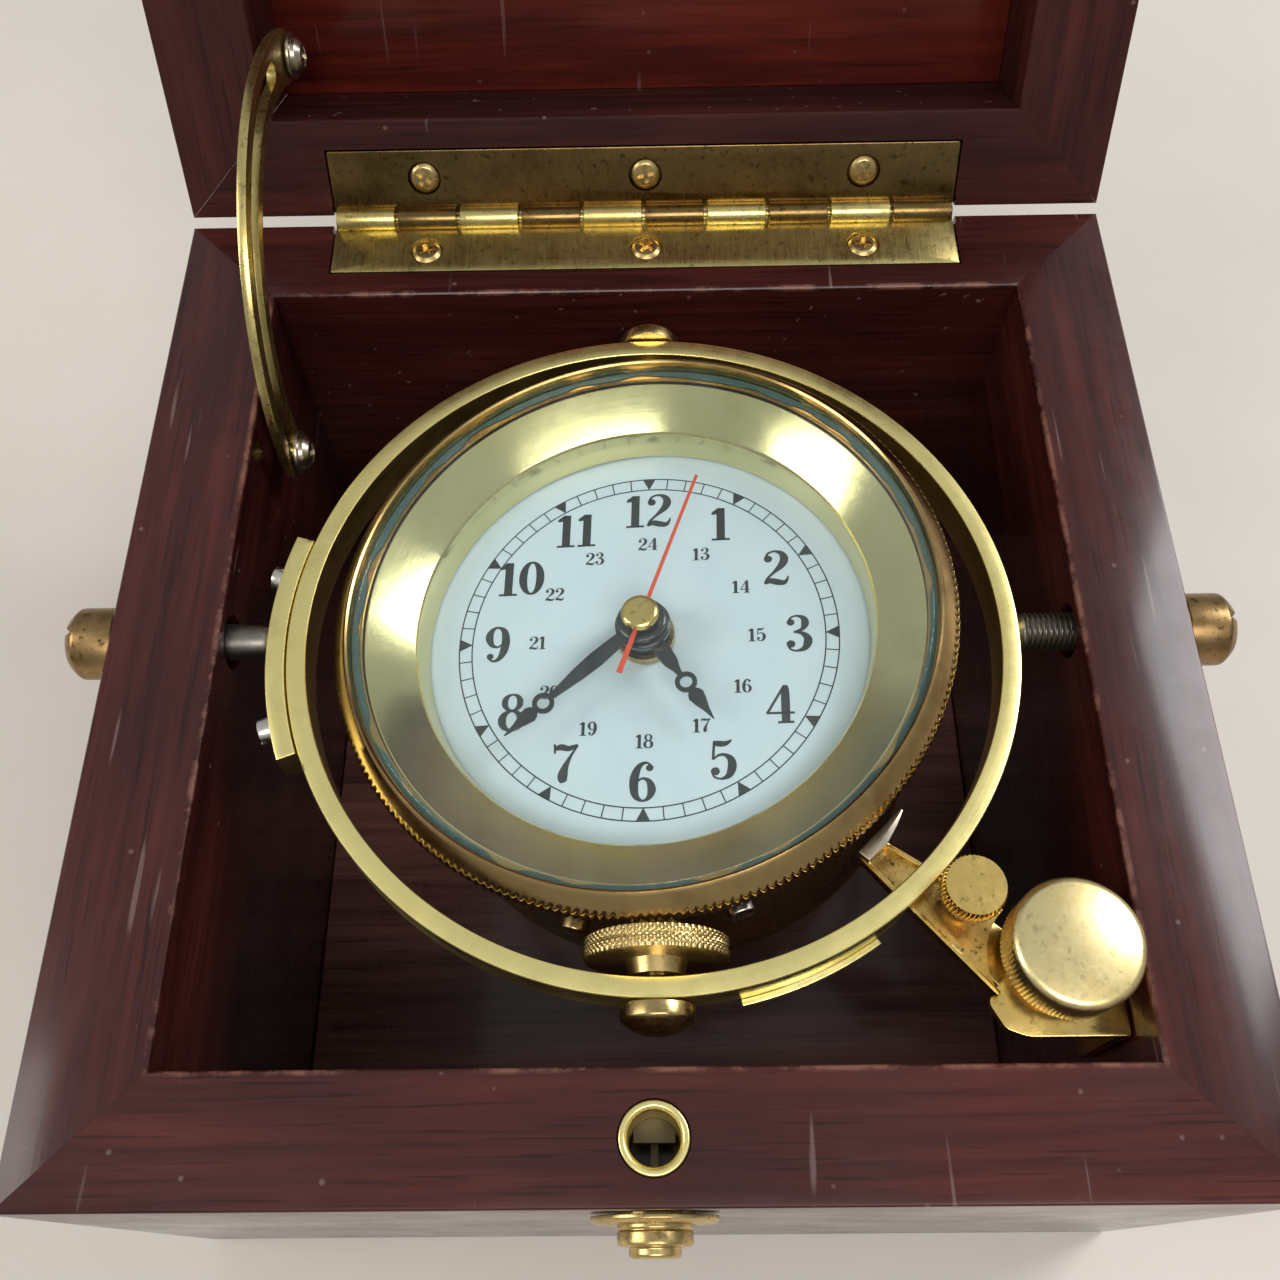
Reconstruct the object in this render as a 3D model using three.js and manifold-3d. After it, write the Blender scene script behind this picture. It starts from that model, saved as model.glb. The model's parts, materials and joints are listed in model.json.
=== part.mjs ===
// A boxed deck clock: a quartz clock in a brass bowl, hung in a gimbal ring inside a hinged mahogany box.
// Millimetres, +Z up, the box front faces -Y, and the origin is the middle of the box's underside.
import * as THREE from 'three';
import { mergeVertices } from 'three/addons/utils/BufferGeometryUtils.js';
import Module from 'manifold-3d';

const wasm = await Module();
wasm.setup();

// ---------------------------------------------------------------- driving dimensions
const GAP = 0.3; // between pieces that touch
const BOX = { side: 160, height: 86, wall: 16.4, floor: 7.4 };
const LID = { height: 22, recess: 15.5, open: 114, gap: 0.5 };
const HINGE = { length: 109, knuckles: 10, barrel: 2.15, pin: 0.9, offset: 0.7 };
const LEAF = { width: 11.2, thick: 1.1, room: 0.8 };
const STAY = { width: 8.4, slot: 3.4, thick: 1.5, sagitta: 20, plane: -60.8 };
const STAY_ON_BOX = { y: 38, z: -10 }; // from the rim
const STAY_ON_LID = { reach: 25.5, depth: 5 }; // from the lid's hinge edge, and into the lid
const RING = { outer: 54.8, inner: 51.9, height: 7, below: 2.6, x: 0.6, bore: 1.9 };
const STRAP = { thick: 2.9, height: 6.4, middle: 182, half: 19, screws: 12.5 };
const BOWL = { x: -0.4, boss: 3.4, bore: 2.5, tilt: -6, outer: 41.5, wall: 1.5, depth: 40, rim: 43.4 };
const BEZEL = { outer: 45.8, lip: 43.3, seat: 42.8, ledge: 41.4, knurlLow: 3.6, knurlTop: 9.5, top: 12.3 };
const GLASS = { radius: 42.4, thick: 1.6, top: 11.7 };
const REFLECTOR = { outer: 41.1, inner: 34.3, foot: 33.6, high: 8.8, low: 4.7, skin: 1.0 };
const DIAL = { radius: 38.6, level: -0.7, thick: 0.6, bore: 3.8 };
const LATCH = { y: -72, bush: 4.5, bore: 3.3, depth: 17, button: 5.0, plate: 8.2, level: -10 };
const BOLT = { reach: 2.7, thick: 1.6, edge: 0.3, back: 4.2, stem: 0.5, drop: 4.2, front: -6.7, clear: 0.3 };
const LOCK = { angle: -43.5, deck: -8.2, thick: 1.6, flange: 18, low: -59.2, high: -47.5 };
const ARM = { tip: 45.4, end: 70.5, tipSides: [-5.6, -1.4], endSides: [-7.9, 3.2] };
const TRAY = { floor: 1.3, rim: 2.1, lip: 0.8, hollow: 9.4 };
const KNOB = { along: 73.6, across: 1.6, lift: 2.6 };
const PINCH = { along: 59.6, across: -0.5, bore: 1.9 };
const TRUNNION = { head: 5.1, rise: 3.9, pin: 1.6, tail: 1.1 };
const NUT = { radius: 10.1, back: 46.4, thick: 2.9, collar: 4.2, bore: 2.0 };

const half = BOX.side / 2;
const inside = half - BOX.wall;
const rim = BOX.height;
const pivotLevel = rim - RING.below - RING.height / 2;
const hingeY = half + HINGE.offset;
const hingeZ = rim + LID.gap / 2;
const rad = THREE.MathUtils.degToRad;

// ---------------------------------------------------------------- materials
const paint = (color, roughness, metalness) => ({ color, roughness, metalness });
const MAHOGANY = paint(0x4a1713, 0.35, 0);
const DARK_MAHOGANY = paint(0x33100f, 0.4, 0);
const BRASS = paint(0xc9ab58, 0.28, 1);
const OLD_BRASS = paint(0x9a7a38, 0.45, 1);
const STEEL = paint(0x9a968c, 0.35, 1);
const DARK_STEEL = paint(0x4a463f, 0.5, 1);
const WHITE = paint(0xdde6ea, 0.5, 0);
const BLACK = paint(0x121212, 0.4, 0);
const RED = paint(0xc8401f, 0.45, 0);
const CLEAR = paint(0xe8f2ee, 0.04, 0);
const RESIN = paint(0x2a2a2c, 0.55, 0);
const NYLON = paint(0xd8d4c4, 0.5, 0);
const FELT = paint(0x3a352a, 0.95, 0);
const COPPER = paint(0xa8623a, 0.4, 1);

// ---------------------------------------------------------------- shape helpers
/** One closed body: shared corners merged, no empty triangles, faces pointing out. */
function tidy(geometry) {
  const bare = geometry.clone();
  bare.deleteAttribute('normal');
  bare.deleteAttribute('uv');
  const merged = mergeVertices(bare, 1e-4);
  const at = merged.attributes.position;
  const all = Array.from(merged.index.array);
  const kept = [];
  let volume = 0;
  for (let i = 0; i < all.length; i += 3) {
    const [a, b, c] = all.slice(i, i + 3);
    if (a === b || b === c || c === a) continue;
    kept.push(a, b, c);
    const [p, q, r] = [a, b, c].map((n) => new THREE.Vector3().fromBufferAttribute(at, n));
    volume += p.dot(q.cross(r));
  }
  if (volume < 0) kept.reverse();
  merged.setIndex(kept);
  return merged;
}

function toSolid(geometry) {
  const body = tidy(geometry);
  return new wasm.Manifold(new wasm.Mesh({
    numProp: 3,
    vertProperties: new Float32Array(body.attributes.position.array),
    triVerts: new Uint32Array(body.index.array),
  }));
}

function toGeometry(solid) {
  const mesh = solid.getMesh();
  const geometry = new THREE.BufferGeometry();
  geometry.setAttribute('position', new THREE.BufferAttribute(new Float32Array(mesh.vertProperties), 3));
  geometry.setIndex(Array.from(mesh.triVerts));
  return geometry;
}

const cut = (geometry, ...tools) => toGeometry(
  tools.reduce((left, tool) => left.subtract(toSolid(tool)), toSolid(geometry)),
);
const join = (geometry, ...others) => toGeometry(
  others.reduce((sum, other) => sum.add(toSolid(other)), toSolid(geometry)),
);

/** A box between two corners. */
function block(low, high) {
  const size = high.map((value, i) => value - low[i]);
  const middle = high.map((value, i) => (value + low[i]) / 2);
  return new THREE.BoxGeometry(...size).translate(...middle);
}

/** A plate: an outline in XY carried from one height to another. */
function plate(outline, low, high, curveSegments = 12) {
  const corners = Array.isArray(outline) ? outline.map((p) => new THREE.Vector2(...p)) : null;
  const shape = corners ? new THREE.Shape(corners) : outline;
  return new THREE.ExtrudeGeometry(shape, { depth: high - low, bevelEnabled: false, curveSegments })
    .translate(0, 0, low);
}

/** A turned piece about Z: its [radius, height] points start and end on the axis, or close on themselves. */
function turned(points, segments = 20) {
  return new THREE.LatheGeometry(points.map((p) => new THREE.Vector2(...p)), segments).rotateX(Math.PI / 2);
}

/** A turned piece with a hole along it. */
const turnedRing = (points, segments) => turned([...points, points[0]], segments);

/** A plain rod along Z. */
const rod = (radius, low, high, segments = 12) => (
  turned([[0, low], [radius, low], [radius, high], [0, high]], segments)
);

const alongX = (geometry) => geometry.rotateY(Math.PI / 2);
/** Turns a piece made along +Z to point along -Y. */
const alongFront = (geometry) => geometry.rotateX(Math.PI / 2);
const polar = (radius, degrees) => [radius * Math.cos(rad(degrees)), radius * Math.sin(rad(degrees))];

function piece(name, geometry, look) {
  const mesh = new THREE.Mesh(tidy(geometry), new THREE.MeshStandardMaterial(look));
  mesh.name = name;
  return mesh;
}

function groupAt(x, y, z, ...children) {
  const group = new THREE.Group();
  group.position.set(x, y, z);
  group.add(...children);
  return group;
}

// ---------------------------------------------------------------- box and lid boards
/** A mitred board along the front of a square frame, which sits between two heights. */
function mitredBoard(low, high) {
  const outer = half - GAP / 2;
  const inner = inside - GAP / 2;
  return plate([[-outer, -half], [outer, -half], [inner, -inside], [-inner, -inside]], low, high);
}

/** The pocket that a hinge leaf and its knuckles need, with the leaf on the face below z = 0. */
function hingePocket() {
  const width = HINGE.length / 2 + GAP;
  const floor = -LEAF.thick - GAP;
  const leaf = block([-width, half - LEAF.width - GAP - LEAF.room, floor], [width, half + 5, 5]);
  const barrel = alongX(rod(HINGE.barrel + 0.45, -width, width, 24)).translate(0, hingeY, LID.gap / 2);
  return [leaf, barrel];
}

function latchPocket() {
  const top = BOX.height;
  const level = top + LATCH.level;
  const bush = rod(LATCH.bush + GAP, top - LATCH.depth - GAP, top + 1, 28).translate(0, LATCH.y, 0);
  const button = alongFront(rod(LATCH.button + GAP, 0, 8, 28)).translate(0, -half + 4.8, level);
  const travel = block(
    [-BOLT.reach - 0.8, LATCH.y, level - BOLT.drop - BOLT.stem - 0.6],
    [BOLT.reach + 0.8, LATCH.y + LATCH.bush + 2.9, level + BOLT.thick / 2 + 0.6],
  );
  return [bush, button, travel];
}

const pivotHole = (x) => alongX(rod(4.3, -BOX.wall, BOX.wall, 24)).translate(x, 0, pivotLevel);

function boxBoards() {
  const front = piece('box_front_wall', cut(mitredBoard(0, rim), ...latchPocket()), MAHOGANY);
  const back = piece('box_back_wall', cut(
    mitredBoard(0, rim).rotateZ(Math.PI),
    ...hingePocket().map((tool) => tool.translate(0, 0, rim)),
  ), MAHOGANY);
  const sideBoard = (turns) => mitredBoard(0, rim).rotateZ((turns * Math.PI) / 2);
  const left = piece('box_left_wall', cut(sideBoard(-1), pivotHole(-half)), MAHOGANY);
  const right = piece('box_right_wall', cut(sideBoard(1), pivotHole(half)), MAHOGANY);
  const edge = inside - GAP;
  const floor = piece('box_floor', block([-edge, -edge, 0], [edge, edge, BOX.floor]), DARK_MAHOGANY);
  return [front, back, left, right, floor];
}

/** The lid's boards as they lie when it is shut, with z = 0 on the lid's lower face. */
function lidBoards() {
  const board = () => mitredBoard(0, LID.height);
  const stud = rod(2.3, -1, 6, 20).translate(0, LATCH.y, 0);
  const pocket = hingePocket().map((tool) => tool.scale(1, 1, -1));
  const edge = inside - GAP;
  return [
    piece('lid_front_rail', cut(board(), stud), MAHOGANY),
    piece('lid_back_rail', cut(board().rotateZ(Math.PI), ...pocket), MAHOGANY),
    piece('lid_left_rail', board().rotateZ(-Math.PI / 2), MAHOGANY),
    piece('lid_right_rail', board().rotateZ(Math.PI / 2), MAHOGANY),
    piece('lid_panel', block([-edge, -edge, LID.recess], [edge, edge, LID.height]), DARK_MAHOGANY),
  ];
}

// ---------------------------------------------------------------- hinge and stay
/** A hinge leaf with every second knuckle, about an axis at the origin along X, its plate at +/- z. */
function hingeLeaf(first, side) {
  const pitch = HINGE.length / HINGE.knuckles;
  const face = -side * LID.gap / 2;
  const [low, high] = [face, face - side * LEAF.thick].sort((a, b) => a - b);
  const reach = HINGE.offset + LEAF.width;
  const plateBody = block([-HINGE.length / 2, -reach, low], [HINGE.length / 2, -0.9, high]);
  const knuckles = [];
  const rooms = [];
  for (let i = 0; i < HINGE.knuckles; i += 1) {
    const start = -HINGE.length / 2 + i * pitch;
    if (i % 2 === first) {
      knuckles.push(alongX(rod(HINGE.barrel, start + GAP / 2, start + pitch - GAP / 2, 14)));
    } else {
      rooms.push(alongX(rod(HINGE.barrel + GAP, start - GAP / 2, start + pitch + GAP / 2, 14)));
    }
  }
  const bore = alongX(rod(HINGE.pin + GAP, -HINGE.length, HINGE.length, 10));
  return cut(join(cut(plateBody, ...rooms), ...knuckles), bore);
}

const stayPin = {
  y: half - STAY_ON_LID.reach,
  z: LID.gap + STAY_ON_LID.depth,
};

/** Where a point of the shut lid stands once the lid is open, measured from the rim. */
function opened(y, z) {
  const turn = rad(-LID.open);
  const [dy, dz] = [y - hingeY, z - LID.gap / 2];
  return [
    hingeY + dy * Math.cos(turn) - dz * Math.sin(turn),
    LID.gap / 2 + dy * Math.sin(turn) + dz * Math.cos(turn),
  ];
}

/** The slotted stay: an arc-shaped bar in the YZ plane, from its lid pin down to the box pin. */
function stayArm() {
  const [topY, topZ] = opened(stayPin.y, stayPin.z);
  const chord = new THREE.Vector2(STAY_ON_BOX.y - topY, STAY_ON_BOX.z - topZ);
  const span = chord.length();
  const radius = (span * span / 4 + STAY.sagitta ** 2) / (2 * STAY.sagitta);
  const sweep = 2 * Math.asin(span / 2 / radius);
  const centre = new THREE.Vector2(0, STAY.sagitta - radius);
  const from = Math.PI / 2 - sweep / 2;
  const band = (halfWidth, start, end) => {
    const shape = new THREE.Shape();
    const tip = (angle) => [centre.x + radius * Math.cos(angle), centre.y + radius * Math.sin(angle)];
    shape.absarc(centre.x, centre.y, radius + halfWidth, start, end, false);
    shape.absarc(...tip(end), halfWidth, end, end + Math.PI, false);
    shape.absarc(centre.x, centre.y, radius - halfWidth, end, start, true);
    shape.absarc(...tip(start), halfWidth, start + Math.PI, start + 2 * Math.PI, false);
    return shape;
  };
  const bar = plate(band(STAY.width / 2, from, from + sweep), 0, STAY.thick, 9);
  const slot = plate(band(STAY.slot / 2, from + 0.02, from + sweep - 0.3), -1, STAY.thick + 1, 9);
  const hole = rod(1.5, -1, STAY.thick + 1, 16).translate(-span / 2, 0, 0);
  const flat = cut(bar, slot, hole);
  // local +X runs from the lid pin's end to the box pin's end, and +Y is the bulge, up and to the front
  const along = chord.clone().normalize();
  const frame = new THREE.Matrix4().makeBasis(
    new THREE.Vector3(0, along.x, along.y),
    new THREE.Vector3(0, along.y, -along.x),
    new THREE.Vector3(-1, 0, 0),
  );
  const middle = [(STAY_ON_BOX.y + topY) / 2, (STAY_ON_BOX.z + topZ) / 2];
  return flat.applyMatrix4(frame).translate(STAY.plane + STAY.thick, middle[0], middle[1] + rim);
}

/** A pan-head screw's head with a washer under it, standing along +X from x = 0. */
const stayHead = () => alongX(turned([
  [0, 0], [3.6, 0], [3.6, 0.7], [2.8, 0.8], [2.8, 1.6], [1.9, 2.6], [0, 2.8],
], 20));

/** The lid screw: its head, and a shank through the stay's hole into the lid's side. */
const stayShank = (length) => alongX(rod(1.1, -length, 0.2, 12));

// ---------------------------------------------------------------- gimbal
/** A side pivot: slotted round head outside the box wall, threaded shank, coned point at the ring. */
function pivotScrew(pointReach) {
  const head = half + 0.1;
  const body = turned([
    [0, head + 7.6], [4.2, head + 7.6], [5.5, head + 6.2], [5.5, head], [4.0, head],
    [4.0, inside], [2.9, inside], [2.9, pointReach + 2.6],
    [1.5, pointReach + 1.2], [1.5, pointReach], [0, pointReach],
  ], 20);
  const slot = block([-7, -0.6, head + 6.0], [7, 0.6, head + 9]);
  return alongX(cut(body, slot)).translate(0, 0, pivotLevel);
}

function gimbalRing() {
  const hoop = turnedRing([
    [RING.inner, -RING.height / 2], [RING.outer, -RING.height / 2],
    [RING.outer, RING.height / 2], [RING.inner, RING.height / 2],
  ], 84);
  const sideHoles = alongX(rod(RING.bore, -60, 60, 16));
  const frontHoles = alongFront(rod(RING.bore, -60, 60, 16));
  const notch = block([RING.inner - 6, -8, -RING.height], [RING.outer + 4, 6.6, RING.height / 2 - 1.3])
    .rotateZ(rad(LOCK.angle));
  return cut(hoop, sideHoles, frontHoles, notch);
}

/** The curved strap that stiffens the ring where the left pivot bears. */
function ringStrap() {
  const inner = RING.outer + GAP;
  const outer = inner + STRAP.thick;
  const shape = new THREE.Shape();
  const [start, end] = [rad(STRAP.middle - STRAP.half), rad(STRAP.middle + STRAP.half)];
  shape.absarc(0, 0, outer, start, end, false);
  shape.absarc(0, 0, inner, end, start, true);
  const body = plate(shape, -STRAP.height / 2, STRAP.height / 2, 9);
  const hole = alongX(rod(RING.bore, -70, 0, 16));
  const screwHoles = [-1, 1].map((side) => (
    alongX(rod(1.3, -70, 0, 12)).rotateZ(rad(STRAP.middle - 180 + side * STRAP.screws))
  ));
  return cut(body, hole, ...screwHoles);
}

/** A cheese-head screw along -X, its head on the strap. */
function strapScrew(side) {
  const seat = RING.outer + STRAP.thick + 2 * GAP;
  const body = turned([
    [0, seat + 1.7], [2.1, seat + 1.7], [2.1, seat],
    [1.0, seat], [1.0, RING.outer + GAP], [0, RING.outer + GAP],
  ], 16);
  const slot = block([-3, -0.3, seat + 1.0], [3, 0.3, seat + 3]);
  return alongX(cut(body, slot)).rotateZ(rad(STRAP.middle + side * STRAP.screws));
}

/** A bowl pivot along -Y: domed head outside the ring and a pin through the ring into the bowl. */
function bowlPivot() {
  const seat = RING.outer + GAP;
  const { head, rise, pin, tail } = TRUNNION;
  return alongFront(turned([
    [0, seat + rise], [head - 2.2, seat + rise - 0.4], [head - 0.5, seat + 2.4],
    [head, seat + 2.0], [head, seat], [pin, seat], [pin, NUT.back + 0.2],
    [tail, NUT.back - 0.2], [tail, BOWL.outer - 0.9], [0, BOWL.outer - 0.9],
  ], 24));
}

/** The knurled nut on the front pivot, between bowl and ring. */
function thumbNut() {
  const { radius, back, thick, collar, bore } = NUT;
  const front = back + thick;
  return alongFront(turnedRing([
    [bore, back], [radius - 0.4, back], [radius, back + 0.4], [radius, front - 0.4], [radius - 0.4, front],
    [collar, front], [collar - 0.4, front + 2.1], [bore, front + 2.1],
  ], 28));
}

/** The thin wear strip under the ring's lower right. */
function wearStrip() {
  const shape = new THREE.Shape();
  shape.absarc(0, 0, RING.outer + 0.9, rad(-78), rad(-56), false);
  shape.absarc(0, 0, RING.outer - 0.4, rad(-56), rad(-78), true);
  return plate(shape, -RING.height / 2 - GAP - 1.6, -RING.height / 2 - GAP, 10);
}

// ---------------------------------------------------------------- bowl, about its own pivot centre
function bowlCup() {
  const { outer, wall, depth, rim: lip } = BOWL;
  const bore = outer - wall;
  const cup = turned([
    [0, -depth], [outer - 6, -depth], [outer, -depth + 6], [outer, 2.4], [lip, 3.0], [lip, 7.4],
    [lip - 1.4, 7.4], [bore, 5.6], [bore, -depth + 7], [bore - 5.4, -depth + 1.8], [0, -depth + 1.8],
  ], 40);
  const bosses = alongFront(rod(BOWL.boss, -NUT.back + GAP, NUT.back - GAP, 14));
  const chamber = rod(bore, -20, 30, 28);
  const holes = alongFront(rod(BOWL.bore, -60, 60, 14)).translate(RING.x - BOWL.x, 0, 0);
  return cut(join(cup, cut(bosses, chamber)), holes);
}

const bezelRing = () => turnedRing([
  [BEZEL.outer, BEZEL.knurlLow], [BEZEL.outer, BEZEL.knurlTop], [BEZEL.lip + 0.5, BEZEL.top - 0.2],
  [BEZEL.lip, BEZEL.top], [BEZEL.seat, BEZEL.top - 0.2], [BEZEL.seat, GLASS.top - GLASS.thick - GAP],
  [BEZEL.ledge, GLASS.top - GLASS.thick - GAP], [BEZEL.ledge, 9.2],
  [BOWL.rim + GAP, 8.6], [BOWL.rim + GAP, BEZEL.knurlLow],
], 56);

const glassDisc = () => turned([
  [0, GLASS.top - GLASS.thick], [GLASS.radius, GLASS.top - GLASS.thick],
  [GLASS.radius, GLASS.top - 0.4], [GLASS.radius - 0.4, GLASS.top], [0, GLASS.top],
], 40);

/** The polished cone between glass and dial, with a short collar that stands on the dial. */
const reflectorCone = () => turnedRing([
  [REFLECTOR.outer, REFLECTOR.high], [REFLECTOR.inner, REFLECTOR.low],
  [REFLECTOR.foot, DIAL.level + GAP], [REFLECTOR.foot + REFLECTOR.skin, DIAL.level + GAP],
  [REFLECTOR.inner + REFLECTOR.skin, REFLECTOR.low - REFLECTOR.skin + 0.3],
  [REFLECTOR.outer + 0.2, REFLECTOR.high - REFLECTOR.skin],
  [REFLECTOR.outer + 1.8, REFLECTOR.high - REFLECTOR.skin],
  [REFLECTOR.outer + 1.8, REFLECTOR.high - GAP],
], 48);

const dialPlate = () => turnedRing([
  [DIAL.bore, DIAL.level - DIAL.thick], [DIAL.radius, DIAL.level - DIAL.thick],
  [DIAL.radius, DIAL.level], [DIAL.bore, DIAL.level],
], 40);

// ---------------------------------------------------------------- movement
const MOVEMENT = { side: 56, top: -1.9, depth: 15.6, wall: 1.6, stem: 3.5, bore: 2.8 };
const TRAIN = { seconds: 12, motion: 10 }; // centre distances of the two gear pairs

function movementCase() {
  const edge = MOVEMENT.side / 2;
  const bottom = MOVEMENT.top - MOVEMENT.depth;
  const shell = block([-edge, -edge, bottom], [edge, edge, MOVEMENT.top]);
  const stem = rod(MOVEMENT.stem, MOVEMENT.top - 1, 2.6, 28);
  const room = edge - MOVEMENT.wall;
  const hollow = block([-room, -room, bottom - 1], [room, room, MOVEMENT.top - MOVEMENT.wall]);
  return cut(join(shell, stem), hollow, rod(MOVEMENT.bore, bottom, 5, 24));
}

function movementCover() {
  const edge = MOVEMENT.side / 2;
  const top = MOVEMENT.top - MOVEMENT.depth - GAP;
  const knob = rod(6, top - 4.2, top - 1, 24).translate(0, 12, 0);
  return join(block([-edge, -edge, top - 1.4], [edge, edge, top]), knob);
}

/** A gear wheel about Z: pointed teeth round a disc, a boss, and a bore or a solid arbor. */
function gear(teeth, radius, low, high, bore) {
  const outline = [];
  for (let i = 0; i < teeth * 2; i += 1) {
    const reach = i % 2 ? radius : radius - 0.55;
    outline.push(polar(reach, (i * 180) / teeth));
  }
  const wheel = plate(outline, low, high);
  return bore ? cut(wheel, rod(bore, low - 1, high + 1, 16)) : wheel;
}

/** A thin tube about Z. */
const tube = (outer, inner, low, high) => (
  turnedRing([[inner, low], [outer, low], [outer, high], [inner, high]], 16)
);

function trainWheels() {
  const secondWheel = join(gear(32, 5.2, -13.2, -12.2), rod(0.7, -15.6, 6.0, 12), rod(1.3, -10.6, -9.2, 12));
  const thirdWheel = join(gear(60, 10.2, -10.4, -9.6), rod(0.8, -14.6, -6.2, 12), rod(1.3, -8.9, -7.4, 10))
    .translate(-TRAIN.seconds, 0, 0);
  const minutePinion = gear(12, 2.4, -6.9, -5.9, 1.05);
  const minuteWheel = join(gear(64, 10.2, -8.7, -7.7, 1.05), tube(1.6, 1.05, -8.4, 4.6), minutePinion);
  const motionWheel = join(gear(36, 7.1, -6.8, -6.0), rod(0.8, -7.3, -3.9, 10), rod(1.8, -6.2, -4.7, 10))
    .translate(0, TRAIN.motion, 0);
  const hourWheel = join(gear(40, 7.7, -5.5, -4.7, 1.95), tube(2.5, 1.95, -5.2, 3.2));
  return { secondWheel, thirdWheel, minuteWheel, motionWheel, hourWheel };
}

/** A spade hand that points along +Y, with a ring part-way and a boss on the arbor. */
function spadeHand(length, ringAt, low, bore, boss) {
  const high = low + 0.5;
  const side = [
    [1.0, 2], [1.25, ringAt * 0.42], [1.05, ringAt * 0.62], [0.5, ringAt - 1.5],
    [0.6, ringAt + 1.3], [1.2, ringAt + 2.4], [0.75, ringAt + 4.0], [0.12, length],
  ];
  const blade = plate([...side, ...side.map(([x, y]) => [-x, y]).reverse()], low, high);
  const circle = rod(1.65, low, high, 20).translate(0, ringAt, 0);
  const eye = rod(0.92, low - 1, high + 1, 16).translate(0, ringAt, 0);
  return cut(join(rod(boss, low, high, 24), blade, circle), eye, rod(bore, low - 1, high + 1, 16));
}

function secondHand() {
  const [low, high] = [6.3, 6.7];
  const needle = plate([[-0.45, -9.5], [-0.25, 26], [0.25, 26], [0.45, -9.5]], low, high);
  return join(needle, rod(1.6, low, high, 20));
}

/** The hands' brass cap. */
const handCap = () => turned([[0, 7.0], [2.5, 7.0], [2.8, 7.3], [2.8, 8.2], [2.4, 8.5], [0, 8.6]], 24);

const dialNut = () => turnedRing([
  [MOVEMENT.stem + GAP, DIAL.level + GAP], [4.5, DIAL.level + GAP], [4.5, 1.2], [MOVEMENT.stem + GAP, 1.2],
], 24);

function bowlGroup() {
  const wheels = trainWheels();
  const clockwise = (degrees) => -rad(degrees);
  const hour = piece('hour_hand', spadeHand(18.8, 11.6, 3.5, 2.6, 4.25).rotateZ(clockwise(147)), BLACK);
  const minute = piece('minute_hand', spadeHand(26.6, 19.2, 4.9, 1.7, 3.7).rotateZ(clockwise(229)), BLACK);
  const second = piece('second_hand', secondHand().rotateZ(clockwise(19.5)), RED);
  const battery = alongX(turned([[0, -25.5], [6.4, -25.5], [6.4, 22.5], [2.4, 22.5], [2.4, 24], [0, 24]], 24))
    .translate(0, -19.6, MOVEMENT.top - 9.1);
  const motor = join(
    block([7.6, 13.2, -14.2], [24.5, 18.8, -10.4]),
    alongX(rod(3.2, 9.5, 22.5, 20)).translate(0, 16, -12.3),
  );
  const group = groupAt(
    BOWL.x, 0, pivotLevel,
    piece('clock_bowl', bowlCup(), OLD_BRASS),
    piece('bezel_ring', bezelRing(), BRASS),
    piece('glass', glassDisc(), CLEAR),
    piece('reflector_ring', reflectorCone(), BRASS),
    piece('dial_plate', dialPlate(), WHITE),
    piece('dial_nut', dialNut(), OLD_BRASS),
    hour, minute, second,
    piece('hand_cap', handCap(), BRASS),
    piece('movement_case', movementCase(), RESIN),
    piece('movement_cover', movementCover(), RESIN),
    piece('battery', battery, COPPER),
    piece('step_motor', motor, COPPER),
    piece('second_wheel', wheels.secondWheel, NYLON),
    piece('third_wheel', wheels.thirdWheel, NYLON),
    piece('minute_wheel', wheels.minuteWheel, NYLON),
    piece('motion_wheel', wheels.motionWheel, NYLON),
    piece('hour_wheel', wheels.hourWheel, NYLON),
  );
  group.rotation.y = rad(BOWL.tilt);
  return group;
}

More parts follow.
